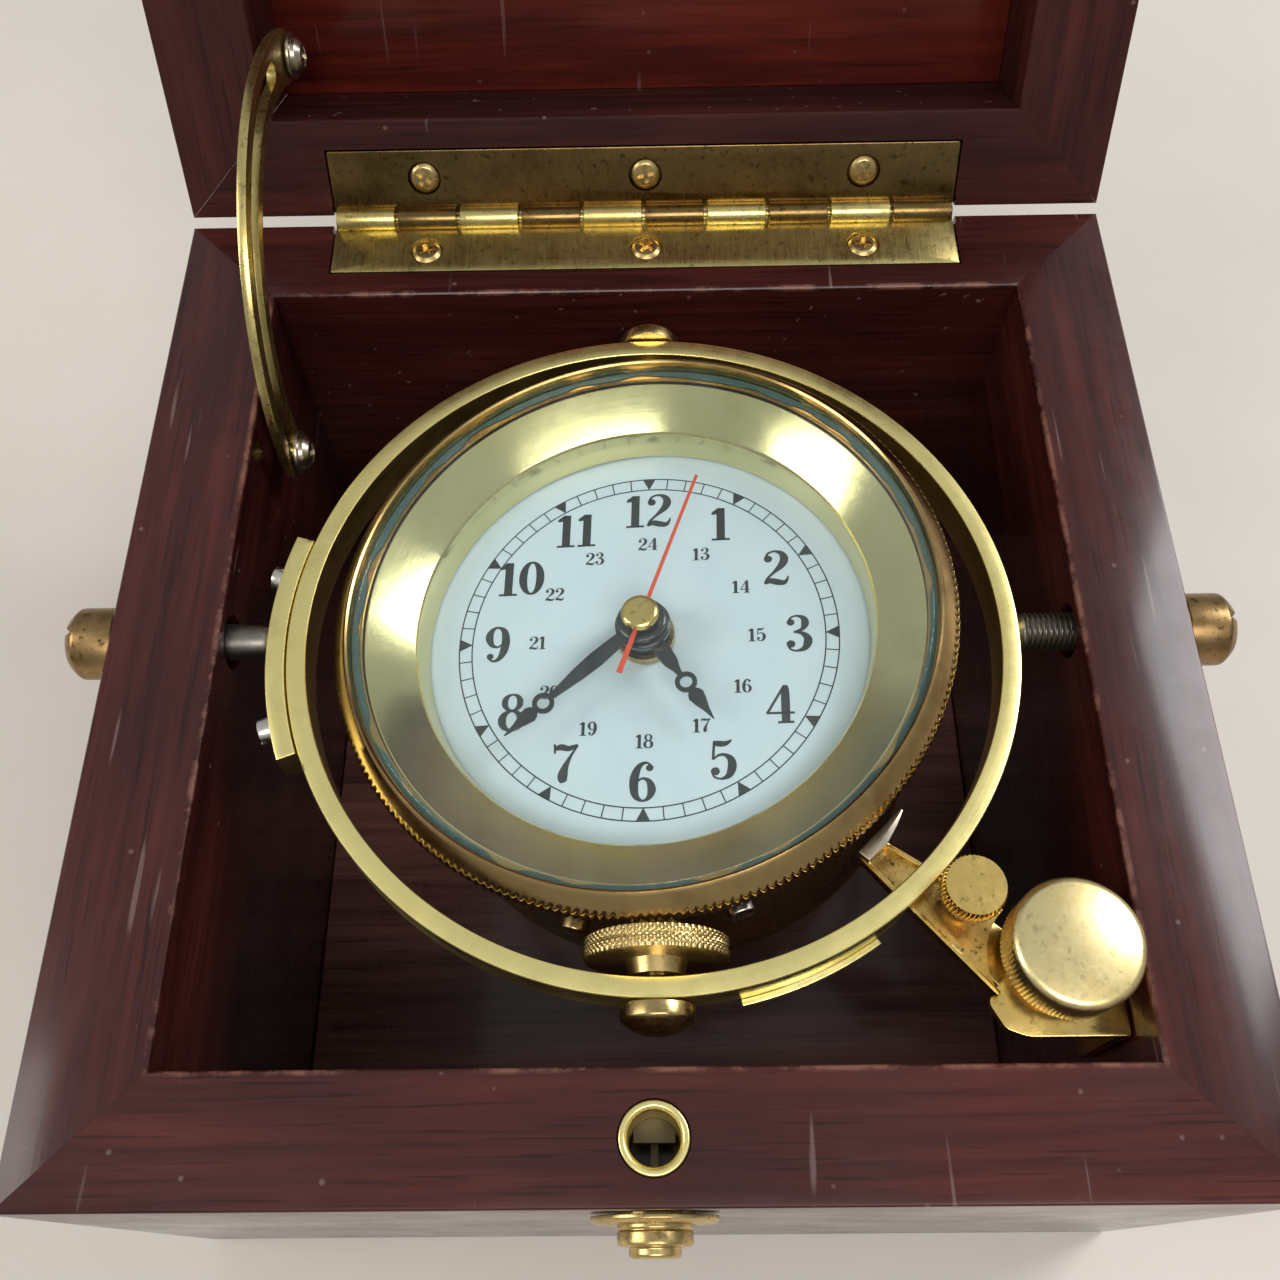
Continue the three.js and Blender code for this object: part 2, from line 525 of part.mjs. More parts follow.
// ---------------------------------------------------------------- latch
function latchPieces() {
  const level = rim + LATCH.level;
  const bush = cut(
    turnedRing([
      [LATCH.bore, -LATCH.depth], [LATCH.bush, -LATCH.depth], [LATCH.bush, -0.2], [LATCH.bush - 0.3, 0.1],
      [LATCH.bore + 0.2, 0.1], [LATCH.bore, -0.2],
    ], 20),
    block([-BOLT.reach - BOLT.clear, 0, LATCH.level - 1.1], [BOLT.reach + BOLT.clear, 6, LATCH.level + 1.1]),
    block(
      [-BOLT.stem - BOLT.clear, -6, LATCH.level - BOLT.drop - BOLT.stem - BOLT.clear],
      [BOLT.stem + BOLT.clear, 6, LATCH.level - BOLT.drop + BOLT.stem + BOLT.clear],
    ),
  ).translate(0, LATCH.y, rim);
  const catchHalf = new THREE.Shape();
  catchHalf.absarc(0, 0, BOLT.reach, 0, Math.PI, false);
  const bolt = join(
    plate(catchHalf, -BOLT.thick / 2, BOLT.thick / 2, 16).translate(0, BOLT.edge, 0),
    block([-BOLT.reach, BOLT.edge, -BOLT.thick / 2], [BOLT.reach, BOLT.back + 1.2, BOLT.thick / 2]),
    block([-BOLT.stem, BOLT.back + 0.6, -BOLT.drop - BOLT.stem], [BOLT.stem, BOLT.back + 1.2, 0]),
    block(
      [-BOLT.stem, BOLT.front, -BOLT.drop - BOLT.stem],
      [BOLT.stem, BOLT.back + 1.0, -BOLT.drop + BOLT.stem],
    ),
  ).translate(0, LATCH.y, level);
  const button = alongFront(turned([
    [0, 5.1], [2.9, 5.1], [3.2, 4.9], [3.2, 3.6], [4.8, 3.4], [4.8, -1.0],
    [2.3, -1.0], [2.3, 0.6], [0, 0.6],
  ], 24)).translate(0, -half, level);
  const collar = alongFront(turnedRing([
    [LATCH.button + 0.1, GAP], [LATCH.plate, GAP], [LATCH.plate, 0.9],
    [LATCH.plate - 0.3, 1.2], [LATCH.button + 0.1, 1.2],
  ], 24)).translate(0, -half, level);
  const coil = new THREE.CatmullRomCurve3(Array.from({ length: 33 }, (_, i) => {
    const turn = (i / 8) * 2 * Math.PI;
    return new THREE.Vector3(1.5 * Math.cos(turn), -half + 2.9 - i * 0.092, level + 1.5 * Math.sin(turn));
  }));
  const wire = new THREE.Shape().absarc(0, 0, 0.25, 0, 2 * Math.PI);
  const spring = new THREE.ExtrudeGeometry(wire, { extrudePath: coil, steps: 32, curveSegments: 3 });
  return [
    piece('latch_bush', bush, BRASS),
    piece('latch_bolt', bolt, STEEL),
    piece('latch_button', button, OLD_BRASS),
    piece('latch_plate', collar, OLD_BRASS),
    piece('latch_spring', spring, STEEL),
  ];
}

/** The stud under the lid's front rail that drops into the bush, notched for the bolt. */
function catchStud() {
  const tip = LATCH.level - 2.6 - LID.gap;
  const body = turned([
    [0, tip], [1.5, tip], [2.2, tip + 1.2], [2.2, -GAP], [2.0, -GAP], [2.0, 5], [0, 5],
  ], 20);
  const notch = LATCH.level - LID.gap;
  return cut(body, block([-4, 0, notch - 1.1], [4, 4, notch + 1.1])).translate(0, LATCH.y, 0);
}

// ---------------------------------------------------------------- gimbal lock, along its own radius (+X)
function lockBase() {
  const { deck, thick, flange, low, high } = LOCK;
  const right = inside - GAP;
  const corner = plate([
    [right, low], [right, high], [52, high + 3], [44.9, -54.6], [46.8, -58.1], [49.7, low],
  ], deck - thick, deck);
  const tongue = plate([[54, -5], [70, -6], [70, 1], [54, 0]], deck - thick, deck).rotateZ(rad(LOCK.angle));
  const upright = block([right - 1.8, low, deck - flange], [right, high, deck - 0.4]);
  return join(corner, tongue, upright).translate(0, 0, rim);
}

/** The sliding arm: a tray with a rim down each side, and a claw at its inner end. */
function lockArm() {
  const { tip, end, tipSides, endSides } = ARM;
  const low = LOCK.deck + GAP;
  const tray = plate([
    [tip, tipSides[0]], [end, endSides[0]], [end, endSides[1]], [tip, tipSides[1]],
  ], low, low + TRAY.floor);
  const edges = [0, 1].map((side) => {
    const inward = side ? -TRAY.lip : TRAY.lip;
    return plate([
      [tip, tipSides[side]], [end, endSides[side]],
      [end, endSides[side] + inward], [tip, tipSides[side] + inward],
    ], low, low + TRAY.rim);
  });
  const claw = plate([
    [44.7, -5.4], [46.9, -5.4], [47.2, -1.4], [46.0, 3.2], [45.2, 3.8], [44.9, -1.2],
  ], low, low + 3.4);
  const clearing = rod(TRAY.hollow, low - 1, low + 4, 40).translate(KNOB.along, KNOB.across, 0);
  const bore = rod(PINCH.bore, low - 1, low + 4, 20).translate(PINCH.along, PINCH.across, 0);
  return cut(join(tray, ...edges, claw), clearing, bore);
}

/** The big plain knob: a post, a stepped flange and a domed head. */
function lockKnob() {
  const foot = LOCK.deck + GAP;
  const skirt = foot + KNOB.lift;
  return turned([
    [0, foot], [1.6, foot], [1.6, skirt], [7.0, skirt], [7.4, skirt + 0.4], [7.4, skirt + 1.4],
    [8.2, skirt + 2.0], [8.6, skirt + 2.6], [8.6, skirt + 8.4],
    [8.2, skirt + 9.1], [7.4, skirt + 9.4], [0, skirt + 9.5],
  ], 32).translate(KNOB.along, KNOB.across, 0);
}

/** The small knurled screw that pinches the arm to its base. */
function lockThumbscrew() {
  const foot = LOCK.deck + GAP;
  return turned([
    [0, foot], [1.5, foot], [1.5, foot + 2.4], [2.4, foot + 2.5], [2.4, foot + 5.8], [4.0, foot + 5.9],
    [4.3, foot + 6.3], [4.3, foot + 9.2], [4.0, foot + 9.6], [0, foot + 9.7],
  ], 20).translate(PINCH.along, PINCH.across, 0);
}

function lockPieces() {
  const radial = groupAt(
    0, 0, rim,
    piece('lock_arm', lockArm(), BRASS),
    piece('lock_knob', lockKnob(), BRASS),
    piece('lock_thumbscrew', lockThumbscrew(), BRASS),
  );
  radial.rotation.z = rad(LOCK.angle);
  return [piece('lock_base', lockBase(), BRASS), radial];
}

// ---------------------------------------------------------------- assembly
function lidGroup() {
  const boards = groupAt(
    0, -hingeY, LID.gap / 2,
    ...lidBoards(),
    piece('catch_stud', catchStud(), BRASS),
    groupAt(
      STAY.plane, stayPin.y, stayPin.z - LID.gap,
      piece('stay_screw_lid', join(
        stayHead().translate(STAY.thick + GAP, 0, 0),
        stayShank(STAY.thick + 2 * GAP).translate(STAY.thick + GAP, 0, 0),
      ), STEEL),
    ),
    piece('stay_spacer_lid', alongX(rod(2.6, -inside + GAP, STAY.plane - GAP, 20))
      .translate(0, stayPin.y, stayPin.z - LID.gap), OLD_BRASS),
  );
  const group = groupAt(0, hingeY, hingeZ, boards, piece('hinge_leaf_lid', hingeLeaf(1, -1), OLD_BRASS));
  group.rotation.x = rad(-LID.open);
  return group;
}

function hingeAndStay() {
  const pinEnd = HINGE.length / 2;
  const axis = groupAt(
    0, hingeY, hingeZ,
    piece('hinge_leaf_box', hingeLeaf(0, 1), OLD_BRASS),
    piece('hinge_pin', alongX(rod(HINGE.pin, -pinEnd, pinEnd, 14)), OLD_BRASS),
  );
  const boxPin = groupAt(
    0, STAY_ON_BOX.y, rim + STAY_ON_BOX.z,
    piece('stay_spacer_box', alongX(rod(2.6, -inside + GAP, STAY.plane - GAP, 20)), OLD_BRASS),
    piece('stay_screw_box', stayHead().translate(STAY.plane + STAY.thick + GAP, 0, 0), STEEL),
  );
  return [axis, boxPin, piece('stay_arm', stayArm(), OLD_BRASS)];
}

function gimbalPieces() {
  const reach = RING.outer + GAP + STRAP.thick;
  const left = pivotScrew(reach - RING.x - 1.6).rotateZ(Math.PI);
  const right = pivotScrew(RING.outer + RING.x - 1.6);
  const washer = alongX(turnedRing([
    [3.3, -inside + GAP], [5.4, -inside + GAP], [3.9, -inside + 3.4], [3.3, -inside + 3.4],
  ], 20)).translate(0, 0, pivotLevel);
  const ring = groupAt(
    RING.x, 0, pivotLevel,
    piece('gimbal_ring', gimbalRing(), BRASS),
    piece('ring_strap', ringStrap(), BRASS),
    piece('strap_screw_back', strapScrew(-1), STEEL),
    piece('strap_screw_front', strapScrew(1), STEEL),
    piece('bowl_pivot_front', bowlPivot(), OLD_BRASS),
    piece('bowl_pivot_back', bowlPivot().rotateZ(Math.PI), OLD_BRASS),
    piece('bowl_thumb_nut', thumbNut(), OLD_BRASS),
    piece('ring_wear_strip', wearStrip(), BRASS),
  );
  return [
    piece('pivot_screw_left', left, OLD_BRASS),
    piece('pivot_screw_right', right, DARK_STEEL),
    piece('pivot_washer_left', washer, FELT),
    ring,
  ];
}

const clock = new THREE.Group();
clock.add(
  ...boxBoards(),
  lidGroup(),
  ...hingeAndStay(),
  ...gimbalPieces(),
  bowlGroup(),
  ...latchPieces(),
  ...lockPieces(),
);

export default clock;
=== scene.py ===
"""Looks for a boxed, gimballed deck clock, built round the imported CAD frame."""

import json
from math import asin, atan2, cos, degrees, pi, radians, sin

import bmesh
import bpy
from mathutils import Matrix, Vector


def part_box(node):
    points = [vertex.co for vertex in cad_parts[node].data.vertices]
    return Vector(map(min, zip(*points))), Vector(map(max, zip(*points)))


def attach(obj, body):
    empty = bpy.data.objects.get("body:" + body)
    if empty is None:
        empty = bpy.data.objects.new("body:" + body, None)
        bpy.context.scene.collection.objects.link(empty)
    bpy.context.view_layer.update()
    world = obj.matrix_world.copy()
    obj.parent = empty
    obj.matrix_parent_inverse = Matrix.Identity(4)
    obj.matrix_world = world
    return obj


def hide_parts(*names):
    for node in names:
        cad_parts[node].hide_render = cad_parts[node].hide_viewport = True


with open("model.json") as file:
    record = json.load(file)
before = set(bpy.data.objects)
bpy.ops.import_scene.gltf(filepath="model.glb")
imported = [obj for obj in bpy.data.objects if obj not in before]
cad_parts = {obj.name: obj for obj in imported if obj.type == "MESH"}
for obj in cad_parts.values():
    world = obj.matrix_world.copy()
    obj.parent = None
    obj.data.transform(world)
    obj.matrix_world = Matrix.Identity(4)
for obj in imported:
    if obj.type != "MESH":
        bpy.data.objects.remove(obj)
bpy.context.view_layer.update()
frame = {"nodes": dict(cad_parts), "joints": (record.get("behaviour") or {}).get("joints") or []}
JOINTS = {joint["name"]: joint for joint in frame["joints"]}
MM = 0.001
TAU = 2 * pi
WEAR_WIDTH = 0.0009  # how far a worn arris reaches, in metres
LACQUER_GLOSS = 0.12
# pale marks in the lacquered wood: partly real scratches and specks, partly painted sheen for highlight
# streaks
SCRATCH_AND_SHEEN_COLOUR = (0.42, 0.32, 0.3)
WORN_WOOD = (0.30, 0.13, 0.09)
SHARP = 32  # degrees, the angle above which an edge stays sharp


# local frames, in metres
def joint_at(name):
    return Vector(JOINTS[name]["pos_m"])


def to_axis(origin, axis, side=Vector((1, 0, 0))):
    """A frame at origin whose Z runs along axis and whose X is as near as it can be to side."""
    z = Vector(axis).normalized()
    x = (Vector(side) - z * z.dot(Vector(side))).normalized()
    y = z.cross(x)
    turn = Matrix((x, y, z)).transposed().to_4x4()
    return Matrix.Translation(origin) @ turn


ROOT = Matrix.Identity(4)
RING = Matrix.Translation(joint_at("ring_swing"))
BOWL = to_axis(joint_at("second_spin"), -Vector(JOINTS["second_spin"]["axis"]))
HINGE_AT = joint_at("lid_hinge")
LID_OPEN = radians(JOINTS["lid_hinge"]["range_deg"][0])
# lid pieces are modelled where they lie with the lid shut, and then turned open
LID = Matrix.Translation(HINGE_AT) @ Matrix.Rotation(LID_OPEN, 4, "X") @ Matrix.Translation(-HINGE_AT)
FRONT = Vector((0, -1, 0))


def size_of(node):
    low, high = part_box(node)
    return low / MM, high / MM


def centre_of(node):
    low, high = size_of(node)
    return (low + high) / 2


# node materials
def put(tree, kind, inputs=None, **settings):
    node = tree.nodes.new("ShaderNode" + kind)
    for key, value in settings.items():
        setattr(node, key, value)
    for key, value in (inputs or {}).items():
        socket = node.inputs[key]
        if isinstance(value, bpy.types.NodeSocket):
            tree.links.new(value, socket)
        else:
            socket.default_value = value
    return node


def ramp(tree, fac, stops):
    node = put(tree, "ValToRGB", {"Fac": fac})
    elements = node.color_ramp.elements
    for _ in range(len(stops) - 2):
        elements.new(0.5)
    for element, (place, colour) in zip(elements, stops):
        element.position = place
        element.color = (*colour, 1) if len(colour) == 3 else colour
    return node.outputs["Color"]


def grey(low, high, a=0.0, b=1.0):
    return [(low, (a, a, a)), (high, (b, b, b))]


def maths(tree, operation, a, b=0.0):
    return put(tree, "Math", {0: a, 1: b}, operation=operation).outputs[0]


def times(tree, a, b):
    return maths(tree, "MULTIPLY", a, b)


def weighed(tree, a, share, b):
    """A sum in which a counts for share and b for the rest."""
    return maths(tree, "ADD", times(tree, a, share), times(tree, b, round(1 - share, 2)))


def mixed(tree, fac, a, b):
    node = put(tree, "Mix", data_type="RGBA")
    for index, value in ((0, fac), (6, a), (7, b)):
        if isinstance(value, bpy.types.NodeSocket):
            tree.links.new(value, node.inputs[index])
        else:
            node.inputs[index].default_value = value if index == 0 else (*value, 1)
    return node.outputs[2]


def new_material(name, **shader):
    material = bpy.data.materials.new(name)
    material.use_nodes = True
    tree = material.node_tree
    principled = tree.nodes["Principled BSDF"]
    for key, value in shader.items():
        principled.inputs[key.replace("_", " ")].default_value = value
    return material, tree, principled


def local(tree, scale=(1, 1, 1)):
    coordinates = put(tree, "TexCoord").outputs["Object"]
    return put(tree, "Mapping", {"Vector": coordinates, "Scale": scale}).outputs["Vector"]


def split(tree):
    return put(tree, "SeparateXYZ", {"Vector": put(tree, "TexCoord").outputs["Object"]})


def noise(tree, vector, scale, detail=4.0, rough=0.6, distortion=0.0):
    inputs = {"Vector": vector, "Scale": scale, "Detail": detail, "Roughness": rough,
        "Distortion": distortion}
    return put(tree, "TexNoise", inputs).outputs["Fac"]


def grain_of(tree, *settings):
    """Noise over the object's own coordinates."""
    return noise(tree, local(tree), *settings)


def bumped(tree, principled, height, strength, distance=0.0002, below=None):
    inputs = {"Height": height, "Strength": strength, "Distance": distance}
    if below is not None:
        inputs["Normal"] = below
    normal = put(tree, "Bump", inputs).outputs["Normal"]
    tree.links.new(normal, principled.inputs["Normal"])
    return normal


def polar_vector(tree, along, across):
    """Coordinates that run round Z and out from it, so that noise on them follows turned marks."""
    x, y, z = split(tree).outputs
    radius = maths(tree, "SQRT", maths(tree, "ADD", times(tree, x, x), times(tree, y, y)))
    unit_x = times(tree, maths(tree, "DIVIDE", x, radius), along)
    unit_y = times(tree, maths(tree, "DIVIDE", y, radius), along)
    depth = maths(tree, "ADD", times(tree, radius, across), times(tree, z, across))
    return put(tree, "CombineXYZ", {0: unit_x, 1: unit_y, 2: depth}).outputs[0]


def near(tree, parts, axis, place):
    """1 on the plane where that coordinate is place, falling to 0 at WEAR_WIDTH from it."""
    away = maths(tree, "ABSOLUTE", maths(tree, "SUBTRACT", parts.outputs[axis], place))
    return maths(tree, "MAXIMUM", maths(tree, "SUBTRACT", 1.0, maths(tree, "DIVIDE", away, WEAR_WIDTH)), 0.0)


def wood(name, grain, dark, mid, light, gloss=0.16, scratch_and_sheen_amount=0.5, coat=0.4, worn_rim=False):
    """Lacquered mahogany with its grain along one axis. A worn rim has its inner arrises rubbed pale."""
    material, tree, principled = new_material(name, Coat_Weight=coat, Coat_Roughness=LACQUER_GLOSS,
        Coat_IOR=1.5, Specular_IOR_Level=0.2)
    run, fine = [1.0] * 3, [1.0] * 3
    run[grain], fine[grain] = 0.055, 0.03
    figure = noise(tree, local(tree, run), 420, 5, 0.62, 0.6)
    drift = noise(tree, local(tree, run), 38, 3, 0.5, 1.2)
    patches = grain_of(tree, 17, 2, 0.5)
    pores = noise(tree, local(tree, fine), 1900, 2, 0.5)
    blend = weighed(tree, figure, 0.5, drift)
    colour = ramp(tree, blend, [(0.36, dark), (0.5, mid), (0.68, light)])
    colour = mixed(tree, ramp(tree, patches, grey(0.42, 0.66, 0.0, 0.55)), colour, dark)
    pore_mask = ramp(tree, pores, grey(0.30, 0.40, 1.0, 0.0))
    colour = mixed(tree, times(tree, pore_mask, 0.6), colour, tuple(c * 0.35 for c in dark))
    # pale streaks and specks mixed into the colour: partly real scratches and specks in the lacquer, partly
    # painted sheen standing in for highlight streaks on the rails
    scratch_and_sheen_run = put(tree, "Mapping", {"Vector": put(tree, "TexCoord").outputs["Object"],
        "Rotation": (0.2, 0.3, 0.7), "Scale": (1.0, 0.05, 1.0),}).outputs["Vector"]
    scratch_and_sheen_streaks = ramp(tree, noise(tree, scratch_and_sheen_run, 620, 2, 0.4), grey(0.72, 0.76))
    specks = put(tree, "TexVoronoi", {"Vector": local(tree), "Scale": 150.0},
        feature="F1").outputs["Distance"]
    specks = ramp(tree, specks, grey(0.035, 0.07, 1.0, 0.0))
    marks = maths(tree, "MAXIMUM", times(tree, scratch_and_sheen_streaks, 0.35), times(tree, specks, 0.35))
    marks = times(tree, marks, scratch_and_sheen_amount)
    colour = mixed(tree, marks, colour, SCRATCH_AND_SHEEN_COLOUR)
    parts = split(tree)
    for place in (INSIDE_EDGE, -INSIDE_EDGE) if worn_rim else ():
        worn = times(tree, near(tree, parts, 1 - grain, place), near(tree, parts, 2, RIM))
        broken = ramp(tree, grain_of(tree, 130, 6, 0.75), grey(0.47, 0.62))
        worn = maths(tree, "MINIMUM", times(tree, worn, broken), 0.45)
        colour = mixed(tree, worn, colour, WORN_WOOD)
    tree.links.new(colour, principled.inputs["Base Color"])
    dull = ramp(tree, grain_of(tree, 65, 5, 0.65), grey(0.3, 0.75, gloss, gloss + 0.22))
    tree.links.new(dull, principled.inputs["Roughness"])
    under = bumped(tree, principled, noise(tree, local(tree, run), 240, 4, 0.6), 0.10, 0.0004)
    bumped(tree, principled, pore_mask, -0.22, 0.00015, under)
    return material


def metal(name, bright, dull, rough, tarnish, marks, bump, aniso=0.0, spots=0.0):
    """Metal whose colour goes from bright to dull in patches; marks are plain, turned or brushed."""
    material, tree, principled = new_material(name, Metallic=1.0)
    patches = grain_of(tree, 160, 6, 0.68, 0.4)
    broad = grain_of(tree, 34, 3, 0.55)
    blend = weighed(tree, patches, 0.6, broad)
    colour = mixed(tree, ramp(tree, blend, grey(*tarnish)), bright, dull)
    if spots:
        pits = ramp(tree, grain_of(tree, 900, 3, 0.6), grey(0.58, 0.68, 0.0, spots))
        colour = mixed(tree, pits, colour, tuple(c * 0.25 for c in dull))
    tree.links.new(colour, principled.inputs["Base Color"])
    if marks == "turned":
        lines = noise(tree, polar_vector(tree, 1.1, 5200.0), 1.0, 2, 0.6)
    elif marks == "brushed":
        lines = noise(tree, local(tree, (0.05, 1, 1)), 3200, 2, 0.6)
    else:
        lines = grain_of(tree, 1400, 4, 0.7)
    smear = grain_of(tree, 75, 5, 0.7)
    blend = weighed(tree, lines, 0.35, smear)
    tree.links.new(ramp(tree, blend, grey(0.35, 0.68, *rough)), principled.inputs["Roughness"])
    under = bumped(tree, principled, lines, bump, 0.00006)
    bumped(tree, principled, smear, bump * 0.6, 0.0004, under)
    if aniso:
        principled.inputs["Anisotropic"].default_value = aniso
        tangent = put(tree, "Tangent", direction_type="RADIAL", axis="Z").outputs["Tangent"]
        tree.links.new(tangent, principled.inputs["Tangent"])
        principled.inputs["Anisotropic Rotation"].default_value = 0.25
    return material


def coated(name, colour, other, rough=(0.3, 0.45), scale=300, bump=0.05, **shader):
    """Paint, resin, nylon or cloth: two near colours in fine mottling, uneven gloss and a faint relief."""
    material, tree, principled = new_material(name, **shader)
    mottle = grain_of(tree, scale, 5, 0.65)
    tree.links.new(ramp(tree, mottle, [(0.35, colour), (0.7, other)]), principled.inputs["Base Color"])
    dull = grain_of(tree, scale * 0.3, 4, 0.6)
    tree.links.new(ramp(tree, dull, grey(0.35, 0.7, *rough)), principled.inputs["Roughness"])
    bumped(tree, principled, grain_of(tree, scale * 4, 3, 0.6), bump, 0.0001)
    return material


def glass_material():
    """Clear glass with a faint film of dust and wiping marks."""
    material, tree, principled = new_material("clear_glass", Metallic=0.0, IOR=1.45)
    tree.nodes.remove(principled)
    film = ramp(tree, noise(tree, local(tree, (1, 0.35, 1)), 90, 5, 0.7), grey(0.45, 0.85, 0.0, 0.03))
    see = put(tree, "BsdfTransparent", {"Color": (0.955, 0.985, 0.97, 1)}).outputs[0]
    shine = put(tree, "BsdfGlossy", {"Color": (1, 1, 1, 1), "Roughness": 0.015}).outputs[0]
    dust = put(tree, "BsdfDiffuse", {"Color": (0.8, 0.85, 0.84, 1)}).outputs[0]
    grazing = maths(tree, "POWER", put(tree, "LayerWeight", {"Blend": 0.5}).outputs["Facing"], 4.0)
    gloss = maths(tree, "MULTIPLY_ADD", grazing, 0.7)
    gloss.node.inputs[2].default_value = 0.035
    clean = put(tree, "MixShader", {0: gloss, 1: see, 2: shine}).outputs[0]
    whole = put(tree, "MixShader", {0: film, 1: clean, 2: dust}).outputs[0]
    output = [node for node in tree.nodes if node.type == "OUTPUT_MATERIAL"][0]
    tree.links.new(whole, output.inputs["Surface"])
    return material


RED_WOOD = dict(dark=(0.017, 0.0038, 0.0036), mid=(0.044, 0.0088, 0.0070), light=(0.086, 0.0172, 0.0115))
# the box floor: the same mahogany as the rails, painted several times lighter as painted light for the light
# and sheen falling inside the box
LIT_FLOOR_WOOD = dict(dark=(0.080, 0.032, 0.030), mid=(0.19, 0.080, 0.068), light=(0.32, 0.14, 0.115))
INSIDE_EDGE = size_of("box_left_wall")[1][0] * MM
RIM = size_of("box_front_wall")[1][2] * MM
YELLOW_BRASS = (0.98, 0.84, 0.34)
# metals: slot, name, bright, dull, roughness, where the dull patches lie, marks, relief, anisotropy, pits
METALS = {
    "ring_brass": ("brass", "ring_brass", YELLOW_BRASS, (0.74, 0.58, 0.2), (0.22, 0.4), (0.52, 0.78),
        "turned", 0.05),
    "bezel_brass": ("brass", "bezel_brass", (0.54, 0.365, 0.145), (0.28, 0.16, 0.055), (0.12, 0.3),
        (0.5, 0.75), "turned", 0.05, 0.35),
    "cone_brass": ("brass", "reflector_brass", (0.76, 0.66, 0.34), (0.58, 0.5, 0.24), (0.12, 0.22),
        (0.55, 0.85), "turned", 0.10, 0.72),
    "pitted_brass": ("brass", "pitted_brass", (0.78, 0.55, 0.18), (0.36, 0.22, 0.07), (0.2, 0.42),
        (0.42, 0.62), "plain", 0.2, 0.0, 0.9),
    "gilt_brass": ("brass", "lock_brass", (0.85, 0.60, 0.19), (0.52, 0.34, 0.10), (0.13, 0.33),
        (0.48, 0.68), "plain", 0.12, 0.0, 0.5),
    "pivot_brass": ("aged_brass", "pivot_brass", (0.36, 0.235, 0.10), (0.16, 0.09, 0.035), (0.25, 0.5),
        (0.40, 0.64), "plain", 0.25, 0.0, 0.8),
    "knob_brass": ("brass", "knob_brass", (0.86, 0.71, 0.35), (0.66, 0.49, 0.2), (0.24, 0.42), (0.46, 0.7),
        "plain", 0.12, 0.0, 0.3),
    "old_brass": ("aged_brass", "tarnished_brass", (0.58, 0.43, 0.18), (0.28, 0.18, 0.07), (0.2, 0.42),
        (0.45, 0.68), "plain", 0.1, 0.0, 0.45),
    "hinge_brass": ("aged_brass", "hinge_brass", (0.66, 0.54, 0.21), (0.42, 0.31, 0.11), (0.2, 0.4),
        (0.46, 0.74), "brushed", 0.04, 0.0, 0.5),
    # the lid's hinge leaf and knuckles: the same brass as the lower leaf, painted about three times darker as
    # painted shade
    "shaded_hinge": ("aged_brass", "shaded_hinge_brass", (0.21, 0.135, 0.048), (0.11, 0.062, 0.021),
        (0.16, 0.36), (0.46, 0.74), "brushed", 0.04, 0.0, 0.6),
    "nickel": ("steel", "worn_nickel", (0.5, 0.44, 0.36), (0.3, 0.23, 0.15), (0.22, 0.42), (0.45, 0.7),
        "plain", 0.1),
    "steel": ("steel", "plated_steel", (0.66, 0.63, 0.57), (0.34, 0.3, 0.25), (0.15, 0.35), (0.5, 0.74),
        "plain", 0.1),
    "iron": (None, "dull_iron", (0.13, 0.11, 0.09), (0.05, 0.04, 0.032), (0.35, 0.6), (0.45, 0.7), "plain",
        0.15),
    "dark_steel": (None, "dark_steel", (0.26, 0.24, 0.21), (0.12, 0.1, 0.085), (0.3, 0.5), (0.45, 0.7),
        "plain", 0.15),
    "copper": (None, "copper_wire", (0.72, 0.33, 0.18), (0.5, 0.2, 0.1), (0.2, 0.4), (0.45, 0.7), "brushed",
        0.2),
}
# paint, resin and the like: slot, shader values, name, two colours, roughness, scale, relief
COATINGS = {
    "dial": ("dial_white", {"Coat_Weight": 0.3, "Coat_Roughness": 0.12}, "dial_paint", (0.56, 0.645, 0.735),
        (0.60, 0.68, 0.76), (0.28, 0.4), 120, 0.02),
    "print": ("black_paint", {}, "dial_print", (0.016, 0.02, 0.022), (0.028, 0.032, 0.034), (0.35, 0.5),
        2200, 0.03),
    "black": ("black_paint", {"Coat_Weight": 0.5, "Coat_Roughness": 0.08}, "black_lacquer",
        (0.008, 0.01, 0.012), (0.016, 0.018, 0.02), (0.12, 0.26), 700, 0.03),
    "red": ("red_paint", {}, "red_paint", (0.72, 0.075, 0.03), (0.62, 0.06, 0.025), (0.3, 0.45), 900, 0.03),
    "felt": ("felt", {}, "worn_felt", (0.07, 0.058, 0.045), (0.2, 0.18, 0.15), (0.8, 0.98), 1400, 0.6),
    "resin": (None, {}, "black_resin", (0.02, 0.02, 0.022), (0.032, 0.032, 0.034), (0.4, 0.6), 500, 0.1),
    "nylon": (None, {}, "white_nylon", (0.62, 0.6, 0.53), (0.7, 0.68, 0.61), (0.35, 0.5), 600, 0.04),
    "tarnish": ("brass", {}, "green_tarnish", (0.03, 0.085, 0.09), (0.075, 0.13, 0.115), (0.5, 0.8), 1800,
        0.3),
    "cell": (None, {"Metallic": 0.6}, "battery_wrap", (0.45, 0.2, 0.06), (0.5, 0.24, 0.08), (0.25, 0.35),
        400, 0.03),
}
